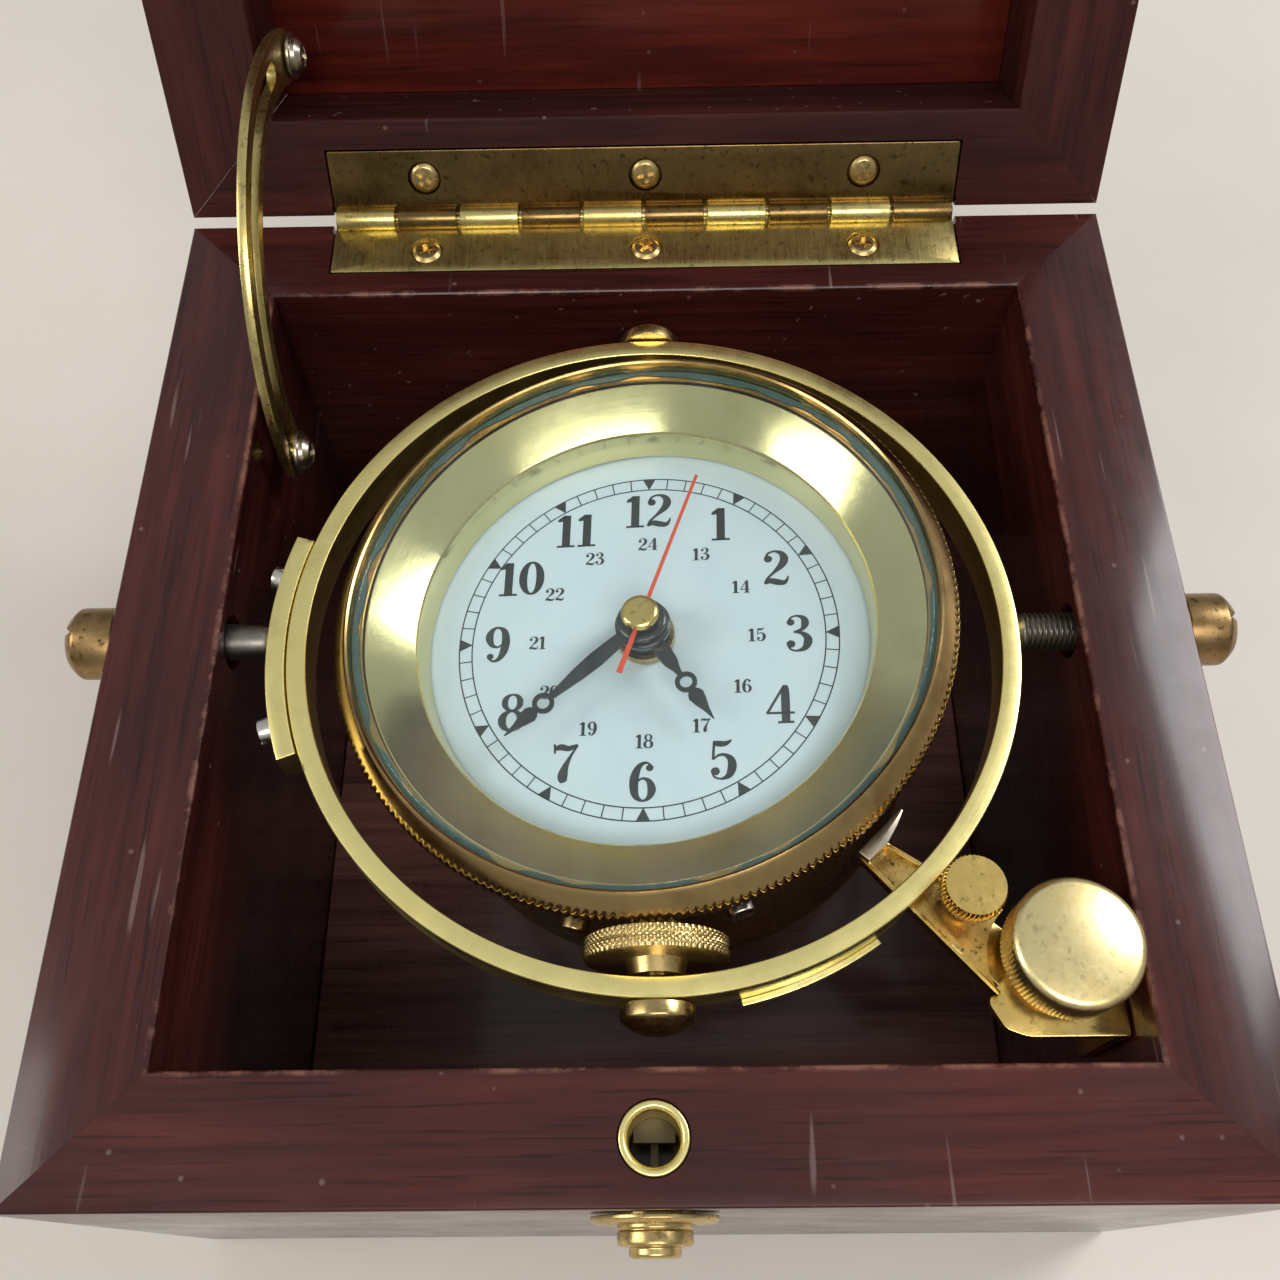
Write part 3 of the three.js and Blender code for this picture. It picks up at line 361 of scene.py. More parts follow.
MATERIALS = {
    "wood_x": wood("mahogany_along_x", 0, **RED_WOOD, worn_rim=True),
    "wood_y": wood("mahogany_along_y", 1, **RED_WOOD, worn_rim=True),
    # the floor's wood, though its material is named dark_mahogany, is a lighter copy of the rails' mahogany:
    # painted light
    "painted_lit_floor_wood": wood("dark_mahogany", 0, **LIT_FLOOR_WOOD, gloss=0.22, scratch_and_sheen_amount=0.25),
    "lid_panel": wood("lid_panel_mahogany", 0, (0.045, 0.0048, 0.0030), (0.095, 0.0105, 0.0055),
        (0.14, 0.019, 0.009), gloss=0.3, scratch_and_sheen_amount=0.3, coat=0.12),
    "lid_x": wood("lid_mahogany_along_x", 0, **RED_WOOD, gloss=0.36, coat=0.0),
    "lid_y": wood("lid_mahogany_along_y", 1, **RED_WOOD, gloss=0.36, coat=0.0),
    "glass": glass_material(),
    **{key: metal(*row[1:]) for key, row in METALS.items()},
    **{key: coated(*row[2:], **row[1]) for key, row in COATINGS.items()},
}
SLOTS = {key: row[0] for key, row in (METALS | COATINGS).items()}
SLOTS |= {"wood_x": "mahogany", "wood_y": "mahogany", "lid_x": "mahogany", "lid_y": "mahogany",
          "painted_lit_floor_wood": "dark_mahogany", "lid_panel": "dark_mahogany", "glass": "glass"}


# meshes, in millimetres
def add_object(name, data):
    made = bpy.data.objects.new(name, data)
    bpy.context.scene.collection.objects.link(made)
    return made


def outward(mesh, parts):
    """Fills a mesh from (points, faces) in millimetres, with shared corners merged and faces pointing out."""
    mesh.from_pydata([Vector(p) * MM for p in parts[0]], [], parts[1])
    tidy = bmesh.new()
    tidy.from_mesh(mesh)
    bmesh.ops.remove_doubles(tidy, verts=tidy.verts, dist=1e-7)
    bmesh.ops.recalc_face_normals(tidy, faces=tidy.faces)
    tidy.to_mesh(mesh)
    tidy.free()
    return mesh


def piece(name, mesh_parts, where, body, material, replaces=(), sharp=SHARP, slot=None):
    """One object from (points, faces) in millimetres, in a local frame, riding on its CAD body."""
    slot = slot or SLOTS[material]
    made = add_object(name, outward(bpy.data.meshes.new(name), mesh_parts))
    made.matrix_world = where
    finish_mesh(made, MATERIALS[material], sharp)
    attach(made, body)
    if replaces:
        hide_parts(*replaces)
    return made


def finish_mesh(made, material, sharp=SHARP):
    mesh = made.data
    mesh.materials.clear()
    mesh.materials.append(material)
    mesh.polygons.foreach_set("use_smooth", [True] * len(mesh.polygons))
    mesh.set_sharp_from_angle(angle=radians(sharp))


def joined(*parts):
    points, faces = [], []
    for more_points, more_faces in parts:
        shift = len(points)
        points += [Vector(p) for p in more_points]
        faces += [[i + shift for i in face] for face in more_faces]
    return points, faces


def moved(parts, matrix):
    return [matrix @ Vector(p) for p in parts[0]], parts[1]


def shifted(parts, x, y, z):
    return moved(parts, Matrix.Translation((x, y, z)))


def spun(parts, degrees, axis="Z"):
    return moved(parts, Matrix.Rotation(radians(degrees), 4, axis))


def soften(points, radius, closed=False, steps=3):
    """Rounds the corners of a 2-D line."""
    count = len(points)
    made = []
    for i, point in enumerate(points):
        here = Vector(point)
        if not closed and i in (0, count - 1):
            made.append(tuple(here))
            continue
        before, after = Vector(points[i - 1]) - here, Vector(points[(i + 1) % count]) - here
        reach = min(radius, before.length * 0.45, after.length * 0.45)
        start, end = here + before.normalized() * reach, here + after.normalized() * reach
        for k in range(steps + 1):
            t = k / steps
            made.append(tuple(start * (1 - t) ** 2 + here * 2 * t * (1 - t) + end * t * t))
    return made


def band_between(low, high):
    """Four-sided faces between two closed rows of corners."""
    count = len(low)
    return [[low[k], low[(k + 1) % count], high[(k + 1) % count], high[k]] for k in range(count)]


def turned(profile, segments=96, closed=False, bevel=0.25, relief=None):
    """Spins a [radius, height] line about Z. relief(angle, height, radius) adds to the radius."""
    line = soften(profile, bevel, closed) if bevel else profile
    points, faces, rows = [], [], []
    for radius, height in line:
        if radius < 1e-6:
            rows.append([len(points)] * segments)
            points.append((0, 0, height))
            continue
        row = []
        for k in range(segments):
            angle = TAU * k / segments
            reach = radius + (relief(angle, height, radius) if relief else 0)
            row.append(len(points))
            points.append((reach * cos(angle), reach * sin(angle), height))
        rows.append(row)
    for low, high in zip(rows, rows[1:] + rows[:1] if closed else rows[1:]):
        for face in band_between(low, high):
            face = [v for i, v in enumerate(face) if v not in face[:i]]
            if len(face) > 2:
                faces.append(face)
    return points, faces


def lofted(count, rows):
    """Faces of a closed body whose corners come in rows of count."""
    faces = []
    for first in range(0, (rows - 1) * count, count):
        faces += band_between(range(first, first + count), range(first + count, first + 2 * count))
    return faces + [list(range(count))[::-1], list(range((rows - 1) * count, rows * count))]


def prism(outline, low, high, bevel=0.2):
    """Carries a closed 2-D outline from one height to another, with small bevels on both rims."""
    def inset(by):
        made = []
        count = len(outline)
        for i in range(count):
            before, here, after = (Vector(outline[j % count]) for j in (i - 1, i, i + 1))
            a, b = (here - before).normalized(), (after - here).normalized()
            normal = Vector((-(a.y + b.y), a.x + b.x))
            normal = normal.normalized() if normal.length > 1e-6 else Vector((-a.y, a.x))
            stretch = 1 / max(0.35, normal.dot(Vector((-a.y, a.x))))
            made.append(here + normal * by * stretch)
        return made

    area = sum(p[0] * q[1] - q[0] * p[1] for p, q in zip(outline, outline[1:] + outline[:1]))
    side = 1 if area > 0 else -1
    steps = [(0, low), (0, high)]
    if bevel:
        part = bevel * 0.3
        steps = [(bevel, low), (part, low + part), (0, low + bevel), (0, high - bevel), (part, high - part),
            (bevel, high)]
    points = [(p.x, p.y, height) for by, height in steps for p in inset(by * side)]
    return points, lofted(len(outline), len(steps))


def block(low, high, bevel=0.2):
    outline = [(low[0], low[1]), (high[0], low[1]), (high[0], high[1]), (low[0], high[1])]
    return prism(soften(outline, bevel, True, 2), low[2], high[2], bevel)


def arc(radius, start, end, steps, centre=(0, 0)):
    return [(centre[0] + radius * cos(start + (end - start) * k / steps), centre[1]
        + radius * sin(start + (end - start) * k / steps)) for k in range(steps + 1)]


def carve(made, *cutters):
    """Cuts other meshes out of a piece, then smooths it again."""
    material = made.data.materials[0]
    tools = []
    for parts, where in cutters:
        tool = add_object("cutter", outward(bpy.data.meshes.new("cutter"), parts))
        tool.matrix_world = where
        tools.append(tool)
        modifier = made.modifiers.new("cut", "BOOLEAN")
        modifier.object = tool
        modifier.operation = "DIFFERENCE"
        modifier.solver = "EXACT"
    bpy.context.view_layer.update()
    graph = bpy.context.evaluated_depsgraph_get()
    mesh = bpy.data.meshes.new_from_object(made.evaluated_get(graph))
    made.modifiers.clear()
    made.data = mesh
    for tool in tools:
        bpy.data.objects.remove(tool)
    finish_mesh(made, material)
    return made


def rod(radius, low, high, segments=48):
    return turned([(0, low), (radius, low), (radius, high), (0, high)], segments, bevel=0)


def straight_knurl(count, depth):
    return lambda angle, height, radius: depth * (abs(sin(angle * count / 2)) ** 0.8 - 1)


# box and lid
HALF = 80.0
INSIDE = size_of("box_left_wall")[1][0] * -1
RIM_MM = RIM / MM
LID_LOW = RIM_MM + 0.5  # the shut lid stands this far off the box
LID_HIGH = LID_LOW + 22.0
MITRE_GAP = 0.015


def mitred(low, high, turn, bevel=0.6):
    """A mitred board of a square frame: the front one, turned by quarter turns to the other sides."""
    section = soften([(-HALF, low), (-INSIDE, low), (-INSIDE, high), (-HALF, high)], bevel, True, 3)
    points = [(side * (-depth - MITRE_GAP), depth, height) for side in (-1, 1) for depth, height in section]
    return spun((points, lofted(len(section), 2)), turn)


def make_boards():
    hinge_low, hinge_high = size_of("hinge_leaf_box")
    pivot_z = joint_at("ring_swing").z / MM
    latch_low, latch_high = size_of("latch_bush")
    latch_y, latch_r = centre_of("latch_bush").y, (latch_high[0] - latch_low[0]) / 2
    button_z = centre_of("latch_button").z
    left, right, inner = hinge_low[0] - 0.3, hinge_high[0] + 0.3, hinge_low[1] - 0.3
    sunk = 1.4  # how deep each leaf lies in its board
    leaf_room = block([left, inner, RIM_MM - sunk], [right, 90, 95], 0)
    barrel = shifted(spun(rod(2.55, -55, 55, 32), 90, "Y"), 0, HINGE_AT.y / MM, HINGE_AT.z / MM)
    hole = spun(rod(4.2, -20, 20), 90, "Y")
    for k, side in enumerate(("front", "right", "back", "left")):
        grain = "xy"[k % 2]
        box = piece(f"board_box_{side}", mitred(0, RIM_MM, 90 * k), ROOT, "box", "wood_" + grain,
            [f"box_{side}_wall"])
        lid = piece(f"board_lid_{side}", mitred(LID_LOW, LID_HIGH, 90 * k), LID, "lid", "lid_" + grain,
            [f"lid_{side}_rail"])
        if side == "front":
            button = spun(rod(5.2, 0, 8), 90, "X")
            carve(box, (shifted(rod(latch_r + 0.1, RIM_MM - 17.3, RIM_MM + 3), 0, latch_y, 0), ROOT),
                (shifted(button, 0, -HALF + 4.8, button_z), ROOT))
        if side == "back":
            carve(box, (leaf_room, ROOT), (barrel, ROOT))
            upper = block([left, inner, 70], [right, 90, LID_LOW + sunk], 0)
            carve(lid, (upper, LID), (barrel, LID))
        if side in ("left", "right"):
            x = HALF if side == "right" else -HALF
            carve(box, (shifted(hole, x, 0, pivot_z), ROOT))
    edge = INSIDE - 0.02
    # the floor board carries the mahogany painted lighter, as painted light
    piece("floor_board", block([-edge, -edge, 0], [edge, edge, size_of("box_floor")[1][2]], 0.3), ROOT,
        "box", "painted_lit_floor_wood", ["box_floor"])
    piece("lid_board", block([-edge, -edge, LID_LOW + 15.5], [edge, edge, LID_HIGH], 0.3), LID, "lid",
        "lid_panel", ["lid_panel"])


# screws
def cross_head(radius, height, slot_depth=0.9, washer=None):
    """A Phillips pan head on Z, its rim at 0, with a washer where asked, and the cross to cut in it."""
    foot = [(0, -0.6), (radius, -0.6)]
    if washer:
        foot = [(0, -0.55), (washer, -0.55), (washer, -0.05), (radius, 0)]
    head = turned(foot + [(radius, height * 0.35), (radius * 0.72, height * 0.85), (0, height)], 40,
        bevel=0.12)
    arm = radius * 0.55
    wide = radius * 0.15
    bars = [block([-arm, -wide, height - slot_depth], [arm, wide, height + 1], 0),
        block([-wide, -arm, height - slot_depth], [wide, arm, height + 1], 0)]
    return head, bars


def screw_on(name, where, radius, height, body, material="steel", turn=0.0, cross=True, depth=0.9,
        replaces=(), washer=None):
    if cross:
        head, bars = cross_head(radius, height, depth, washer)
    else:
        head = turned([(0, -0.4), (radius, -0.4), (radius, height), (0, height)], 40, bevel=0.25)
        bars = [block([-radius - 1, -0.32, height - depth], [radius + 1, 0.32, height + 1], 0)]
    made = piece(name, spun(head, turn), where, body, material, replaces)
    return carve(made, *[(spun(bar, turn), where) for bar in bars])


# hinge and stay
def make_hinge():
    low, high = size_of("hinge_leaf_box")
    length = high[0] - low[0]
    knuckles = 10
    pitch = length / knuckles
    axis = to_axis(HINGE_AT, (1, 0, 0), (0, 1, 0))
    inner = low[1] - HINGE_AT.y / MM

    def leaf(first, side):
        # in the hinge's frame X points back, Y up and Z to the right
        edge = -side * (LID_LOW - RIM_MM) / 2
        lows, highs = sorted((edge, edge - side * 1.1))
        flat = prism(soften([(inner, -length / 2), (-0.9, -length / 2), (-0.9, length / 2),
            (inner, length / 2)], 0.35, True, 2), lows, highs, 0.18)
        flat = moved(flat, Matrix(((1, 0, 0, 0), (0, 0, 1, 0), (0, 1, 0, 0), (0, 0, 0, 1))))
        curls = []
        for i in range(first, knuckles, 2):
            start = -length / 2 + i * pitch + 0.3
            end = -length / 2 + i * pitch + pitch - 0.3
            curls.append(turned([(0.9, start), (2.15, start), (2.15, end), (0.9, end)], 40, True, 0.22))
        return flat, joined(*curls)

    opened = LID @ axis
    flats, curls = leaf(0, 1)
    piece("hinge_lower_knuckles", curls, axis, "box", "hinge_brass")
    lower = piece("hinge_lower_leaf", flats, axis, "box", "hinge_brass", ["hinge_leaf_box"])
    flats, curls = leaf(1, -1)
    # the lid's leaf and knuckles take the darker copy of the hinge brass: painted shade
    piece("hinge_upper_knuckles", curls, opened, "lid", "shaded_hinge")
    upper = piece("hinge_upper_leaf", flats, opened, "lid", "shaded_hinge", ["hinge_leaf_lid"])
    pin = turned([(0, -length / 2), (0.85, -length / 2), (0.85, length / 2), (0, length / 2)], 24, bevel=0.2)
    piece("hinge_rod", pin, axis, "box", "hinge_brass", ["hinge_pin"])
    middle = (low[1] + HALF) / 2 / 1000 - 0.0008
    seats = []
    for i, x in enumerate((-0.0381, 0.0004, 0.0383)):
        up = to_axis(Vector((x, middle, RIM - 0.0008)), (0, 0, 1))
        down = LID @ to_axis(Vector((x, middle, LID_LOW * MM + 0.0008)), (0, 0, -1))
        seats.append((i, up, down))
    sink = turned([(0, 0), (2.65, 0), (2.95, 1.0), (0, 1.0)], 40, bevel=0)
    for made, side in ((lower, 1), (upper, 2)):
        carve(made, *[(sink, seat[side]) for seat in seats])
    for i, up, down in seats:
        screw_on(f"hinge_screw_lower_{i}", up, 2.6, 1.0, "box", "old_brass", 20 + 31 * i)
        screw_on(f"hinge_screw_upper_{i}", down, 2.6, 1.0, "lid", "old_brass", 55 + 47 * i)


def make_stay():
    low, high = size_of("stay_arm")
    top = Vector(JOINTS["stay_swing"]["pos_m"])
    box_low, box_high = size_of("stay_screw_box")
    foot = Vector((box_low[0] * MM, (box_low[1] + box_high[1]) / 2 * MM, (box_low[2] + box_high[2]) / 2 * MM))
    plane = low[0] * MM
    start, end = Vector((plane, top.y, top.z)), Vector((plane, foot.y, foot.z))
    along = (end - start).normalized()
    where = to_axis((start + end) / 2, (1, 0, 0), along)
    bulge = where.to_3x3() @ Vector((0, 1, 0))
    flip = 1 if bulge.z > 0 else -1
    span = (end - start).length / MM
    sagitta, half_width, thick = 20.0, 4.2, 1.5
    radius = (span * span / 4 + sagitta ** 2) / (2 * sagitta)
    sweep = 2 * asin(span / 2 / radius)
    centre = (0, sagitta - radius)
    left = pi / 2 + sweep / 2

    def band(wide, a, b, steps):
        tip = lambda angle: (centre[0] + radius * cos(angle), centre[1] + radius * sin(angle))
        line = arc(radius + wide, a, b, steps, centre)[:-1]
        line += arc(wide, b, b + pi, 14, tip(b))[:-1]
        line += arc(radius - wide, b, a, steps, centre)[:-1]
        line += arc(wide, a + pi, a + TAU, 14, tip(a))[:-1]
        return [(x, y * flip) for x, y in line]

    bar = piece("stay_bar", prism(band(half_width, left - sweep, left, 60), 0, thick, 0.22), where, "stay",
        "hinge_brass", ["stay_arm"])
    slot = prism(band(1.7, left - sweep + 0.02, left - 0.3, 50), -1, 3, 0)
    hole = shifted(rod(1.5, -1, 3, 32), -span / 2, 0, 0)
    carve(bar, (slot, where), (hole, where))
    for name, body, at in (("lid", "lid", top), ("box", "box", foot)):
        face = Vector((plane + (thick + 1.0) * MM, at.y, at.z))
        screw_on(f"stay_head_{name}", to_axis(face, (1, 0, 0), (0, 1, 0.3)), 2.8, 1.9, body, "nickel", 30,
            depth=0.55, replaces=[f"stay_screw_{name}"], washer=3.7)
        sleeve = turned([(0, 0), (2.6, 0), (2.6, 2.2), (0, 2.2)], 40, bevel=0.2)
        back = Vector((-INSIDE * MM + 0.0003, at.y, at.z))
        piece(f"stay_sleeve_{name}", sleeve, to_axis(back, (1, 0, 0)), body, "old_brass",
            [f"stay_spacer_{name}"])


# gimbal ring
LOCK_ALONG = JOINTS["lock_arm_slide"]["axis"]
LOCK_ANGLE = atan2(LOCK_ALONG[1], LOCK_ALONG[0])


def make_ring():
    outer, inner, tall = 54.8, 51.9, 7.0
    segments = 480
    lip = 1.3  # what is left of the ring's height over the lock's notch
    points, rows = [], []
    notch_low, notch_high = asin(-8 / outer), asin(6.6 / outer)
    for k in range(segments):
        angle = TAU * k / segments
        away = (angle - LOCK_ANGLE + pi) % TAU - pi
        low = tall / 2 - lip if notch_low < away < notch_high else -tall / 2
        section = soften([(inner, low), (outer, low), (outer, tall / 2), (inner, tall / 2)], 0.35, True, 3)
        rows.append(range(len(points), len(points) + len(section)))
        points += [(r * cos(angle), r * sin(angle), z) for r, z in section]
    faces = []
    for row, ahead in zip(rows, rows[1:] + rows[:1]):
        faces += [[face[0], face[3], face[2], face[1]] for face in band_between(row, ahead)]
    piece("ring_hoop", (points, faces), RING, "ring", "ring_brass", ["gimbal_ring"], sharp=28)

    start, end = radians(163), radians(201)
    shape = arc(outer + 3.2, start, end, 60) + arc(outer + 0.3, end, start, 60)
    piece("ring_strap_bar", prism(shape, -3.2, 3.2, 0.3), RING, "ring", "ring_brass", ["ring_strap"])
    for name, offset, turn in (("back", -12.5, 40), ("front", 12.5, 100)):
        angle = radians(182 + offset)
        out = Vector((cos(angle), sin(angle), 0))
        where = RING @ to_axis(out * (outer + 3.5) * MM, out, (0, 0, 1))
        screw_on(f"strap_screw_{name}_head", where, 2.1, 1.7, "ring", "steel", turn, cross=False,
            replaces=[f"strap_screw_{name}"])
    shape = arc(outer + 0.9, radians(-78), radians(-56), 40)
    shape += arc(outer - 0.4, radians(-56), radians(-78), 40)
    piece("wear_strip", prism(shape, -5.4, -3.8, 0.15), RING, "ring", "ring_brass", ["ring_wear_strip"])
    plug = RING @ Matrix.Translation(Vector((-48.9, -21.6, 3.45)) * MM)
    piece("ring_plug", turned([(0, -0.2), (1.25, -0.2), (1.25, 0.04), (0, 0.04)], 32, bevel=0.04), plug,
        "ring", "old_brass")

    for name, turn in (("front", 0), ("back", 180)):
        where = RING @ Matrix.Rotation(radians(turn), 4, "Z") @ to_axis((0, 0, 0), FRONT)
        head = turned([(0, 59.0), (2.0, 58.8), (3.6, 58.2), (4.6, 57.5), (5.1, 57.0), (5.1, 55.1),
            (1.6, 55.1), (1.6, 46.6), (1.1, 46.2), (1.1, 41.8), (0, 41.8)], 64, bevel=0.25)
        piece(f"bowl_trunnion_{name}", head, where, "ring", "old_brass", [f"bowl_pivot_{name}"])

    where = RING @ to_axis((0, 0, 0), FRONT)

    def diamonds(angle, height, radius):
        if radius < 9.9:
            return 0
        u, v = angle * 34 / TAU * 2, height * 1.35
        return -0.42 * min(1.0, abs(((u + v) % 1) - 0.5) * -2 + 1 + abs(((u - v) % 1) - 0.5) * -2 + 1)

    rows = [(2.0, 46.4), (9.7, 46.4)] + [(10.1, 46.7 + 2.3 * i / 14) for i in range(15)]
    rows += [(9.7, 49.3), (4.2, 49.3), (3.8, 51.3), (2.0, 51.4)]
    piece("thumb_nut_wheel", turned(rows, 408, True, 0, diamonds), where, "thumb_nut", "old_brass",
        ["bowl_thumb_nut"], sharp=40)


def make_side_pivots():
    for side, name, slot in ((-1, "left", "aged_brass"), (1, "right", "dark_steel")):
        at = Vector((0, 0, joint_at("ring_swing").z))
        where = to_axis(at, (side, 0, 0), (0, 0, 1))
        low, high = size_of(f"pivot_screw_{name}")
        tip = -high[0] if side < 0 else low[0]
        head = turned([(0, 87.7), (4.0, 87.7), (5.5, 86.2), (5.5, 80.1), (0, 80.1)], 72, bevel=0.5)
        made = piece(f"pivot_head_{name}", head, where, "box", "pivot_brass")
        carve(made, (block([-7, -0.7, 86.0], [7, 0.7, 89], 0), where))
        if side > 0:
            rows = [(0, tip), (1.3, tip), (1.5, tip + 1.2)]

            def thread(angle, height, radius):
                threaded = radius > 2.5 and tip + 2.8 < height < 66
                return 0.28 * sin(TAU * height / 0.8 + angle) if threaded else 0

            rows += [(2.65, tip + 2.6)] + [(2.65, tip + 2.8 + 0.1 * i) for i in range(110)]
            rows += [(2.65, 70), (0, 70)]
            shaft = turned(rows, 64, False, 0, thread)
        else:
            shaft = turned([(0, tip), (1.4, tip), (1.5, tip + 1.2), (2.3, tip + 2.4), (2.5, tip + 4),
                (2.9, 66), (0, 66)], 64, bevel=0.3)
        piece(f"pivot_shank_{name}", shaft, where, "box", "dark_steel", [f"pivot_screw_{name}"], slot=slot)
    felt = turned([(3.2, -63.2), (5.5, -63.2), (5.0, -61.9), (3.9, -60.2), (3.2, -60.2)], 72, True, 0.3,
        lambda a, h, r: 0.22 * sin(5 * a + 1) + 0.12 * sin(13 * a))
    piece("felt_cone", felt, to_axis(Vector((0, 0, joint_at("ring_swing").z)), (1, 0, 0)), "box", "felt",
        ["pivot_washer_left"])


# clock
def stroke(points, smooth):
    """A brush stroke: [x, y, width] points joined by a smooth line."""
    line = []
    count = len(points)
    for i in range(count - 1):
        p = [Vector(points[min(max(j, 0), count - 1)]) for j in (i - 1, i, i + 1, i + 2)]
        for k in range(smooth + (i == count - 2)):
            t = k / smooth
            line.append(0.5 * ((2 * p[1]) + (p[2] - p[0]) * t
                + (2 * p[0] - 5 * p[1] + 4 * p[2] - p[3]) * t * t
                + (3 * p[1] - p[0] - 3 * p[2] + p[3]) * t ** 3))
    left, right = [], []
    for i, here in enumerate(line):
        ahead, behind = line[min(i + 1, len(line) - 1)], line[max(i - 1, 0)]
        way = Vector((ahead.x - behind.x, ahead.y - behind.y))
        normal = Vector((-way.y, way.x)).normalized() * max(here.z, 0.02) * 0.5
        left.append((here.x + normal.x, here.y + normal.y, 0))
        right.append((here.x - normal.x, here.y - normal.y, 0))
    points = left + right
    size = len(left)
    return points, [[i, i + 1, size + i + 1, size + i] for i in range(size - 1)]


def disc(x, y, radius, steps=20):
    return [(x, y, 0)] + [(px, py, 0) for px, py in arc(radius, 0, TAU, steps, (x, y))], [[0, i + 1, i
        + 2] for i in range(steps)]


def loop(x, y, rx, ry, thin, thick):
    steps = 36
    points = []
    for k in range(steps + 1):
        angle = TAU * k / steps
        heavy = abs(cos(angle)) ** 1.5
        points.append((x + rx * cos(angle), y + ry * sin(angle), thin + (thick - thin) * heavy))
    return stroke(points, 2)


# for each figure, in hundredths of its height: its width, its dots as (x, y, radius), its strokes of
# (x, y, width) points, each with the steps that smooth it, and its loops as (x, y, half width, half height,
# thin, thick)
STRAIGHT, CURVED = 2, 6
FIGURES = {
    "0": (60, [], [], [(30, 50, 21, 46, 6, 20)]),
    "1": (48, [], [(STRAIGHT, [(25, 3, 20), (25, 97, 20)]), (CURVED, [(3, 80, 5), (12, 85, 12),
        (25, 96, 7)]), (STRAIGHT, [(3, 3, 6), (47, 3, 6)])], []),
    "2": (62, [(14, 75, 10)], [(CURVED, [(7, 77, 5), (14, 91, 6), (30, 97, 6), (46, 90, 14), (52, 74, 20),
        (45, 56, 17), (27, 36, 8), (10, 17, 6), (5, 3, 4)]), (CURVED, [(5, 5, 8), (18, 12, 15),
        (34, 8, 17), (49, 6, 13), (57, 14, 7), (60, 25, 3)])], []),
    "3": (62, [(14, 80, 9), (13, 21, 10)], [(CURVED, [(8, 82, 5), (16, 94, 5), (30, 97.5, 6),
        (44, 90, 14), (47, 76, 18), (40, 61, 10), (24, 54, 5)]), (CURVED, [(20, 54, 5), (38, 50, 10),
        (50, 39, 17), (52, 25, 20), (44, 9, 14), (28, 2.5, 6), (13, 6, 5), (6, 19, 5)])], []),
    "4": (68, [], [(STRAIGHT, [(44, 98, 6), (5, 27, 6)]), (STRAIGHT, [(3, 27, 6), (66, 27, 6)]), (3,
        [(46, 99, 10), (46, 80, 19), (46, 3, 19)]), (STRAIGHT, [(28, 3, 6), (64, 3, 6)])], []),
    "5": (62, [(14, 21, 10)], [(CURVED, [(10, 93, 10), (22, 90, 15), (36, 90, 13), (47, 96, 6),
        (50, 100, 3)]), (STRAIGHT, [(12, 97, 6), (9, 50, 6)]), (CURVED, [(9, 50, 4), (20, 60, 6),
        (34, 62, 8), (48, 51, 16), (51, 32, 20), (44, 11, 15), (28, 2.5, 6), (12, 7, 5), (7, 20, 4)])],
        []),
    "6": (61, [(45, 84, 8.5)], [(CURVED, [(50, 88, 4), (38, 97, 6), (23, 90, 12), (13, 68, 19),
        (10, 40, 20), (15, 14, 15), (30, 3, 6), (44, 11, 12), (50, 30, 19), (44, 50, 13), (31, 58, 6),
        (19, 52, 5), (13, 42, 3)])], []),
    "7": (60, [], [(STRAIGHT, [(5, 100, 5), (6, 76, 5)]), (CURVED, [(7, 88, 10), (20, 92, 16),
        (36, 88, 14), (50, 93, 10), (58, 97, 5)]), (CURVED, [(57, 95, 5), (42, 68, 7), (31, 42, 15),
        (26, 20, 23), (27, 6, 18), (28, 2, 10)])], []),
    "8": (60, [], [], [(30, 76, 18, 21, 5, 15), (30, 28, 22, 25, 6, 19)]),
}


def real(hundredths):
    return [value / 100 for value in hundredths]


def figure(sign):
    """One old-style bold figure, 1 high, and its width. A 9 is a 6 turned over."""
    width, dots, strokes, loops = FIGURES["6" if sign == "9" else sign]
    width /= 100
    parts = [disc(*real(dot)) for dot in dots]
    parts += [stroke([real(point) for point in line], smooth) for smooth, line in strokes]
    drawn = joined(*parts, *[loop(*real(around)) for around in loops])
    if sign == "9":
        drawn = moved(drawn, Matrix.Translation((width, 1, 0)) @ Matrix.Rotation(pi, 4, "Z"))
    return drawn, width


def number(text, height, x, y):
    parts, at = [], 0.0
    for sign in text:
        drawn, wide = figure(sign)
        parts.append(shifted(drawn, at, 0, 0))
        at += wide + 0.03
    whole = shifted(joined(*parts), -at / 2, -0.5, 0)
    return moved(whole, Matrix.Translation((x, y, 0)) @ Matrix.Diagonal((height * 1.06, height, 1, 1)))


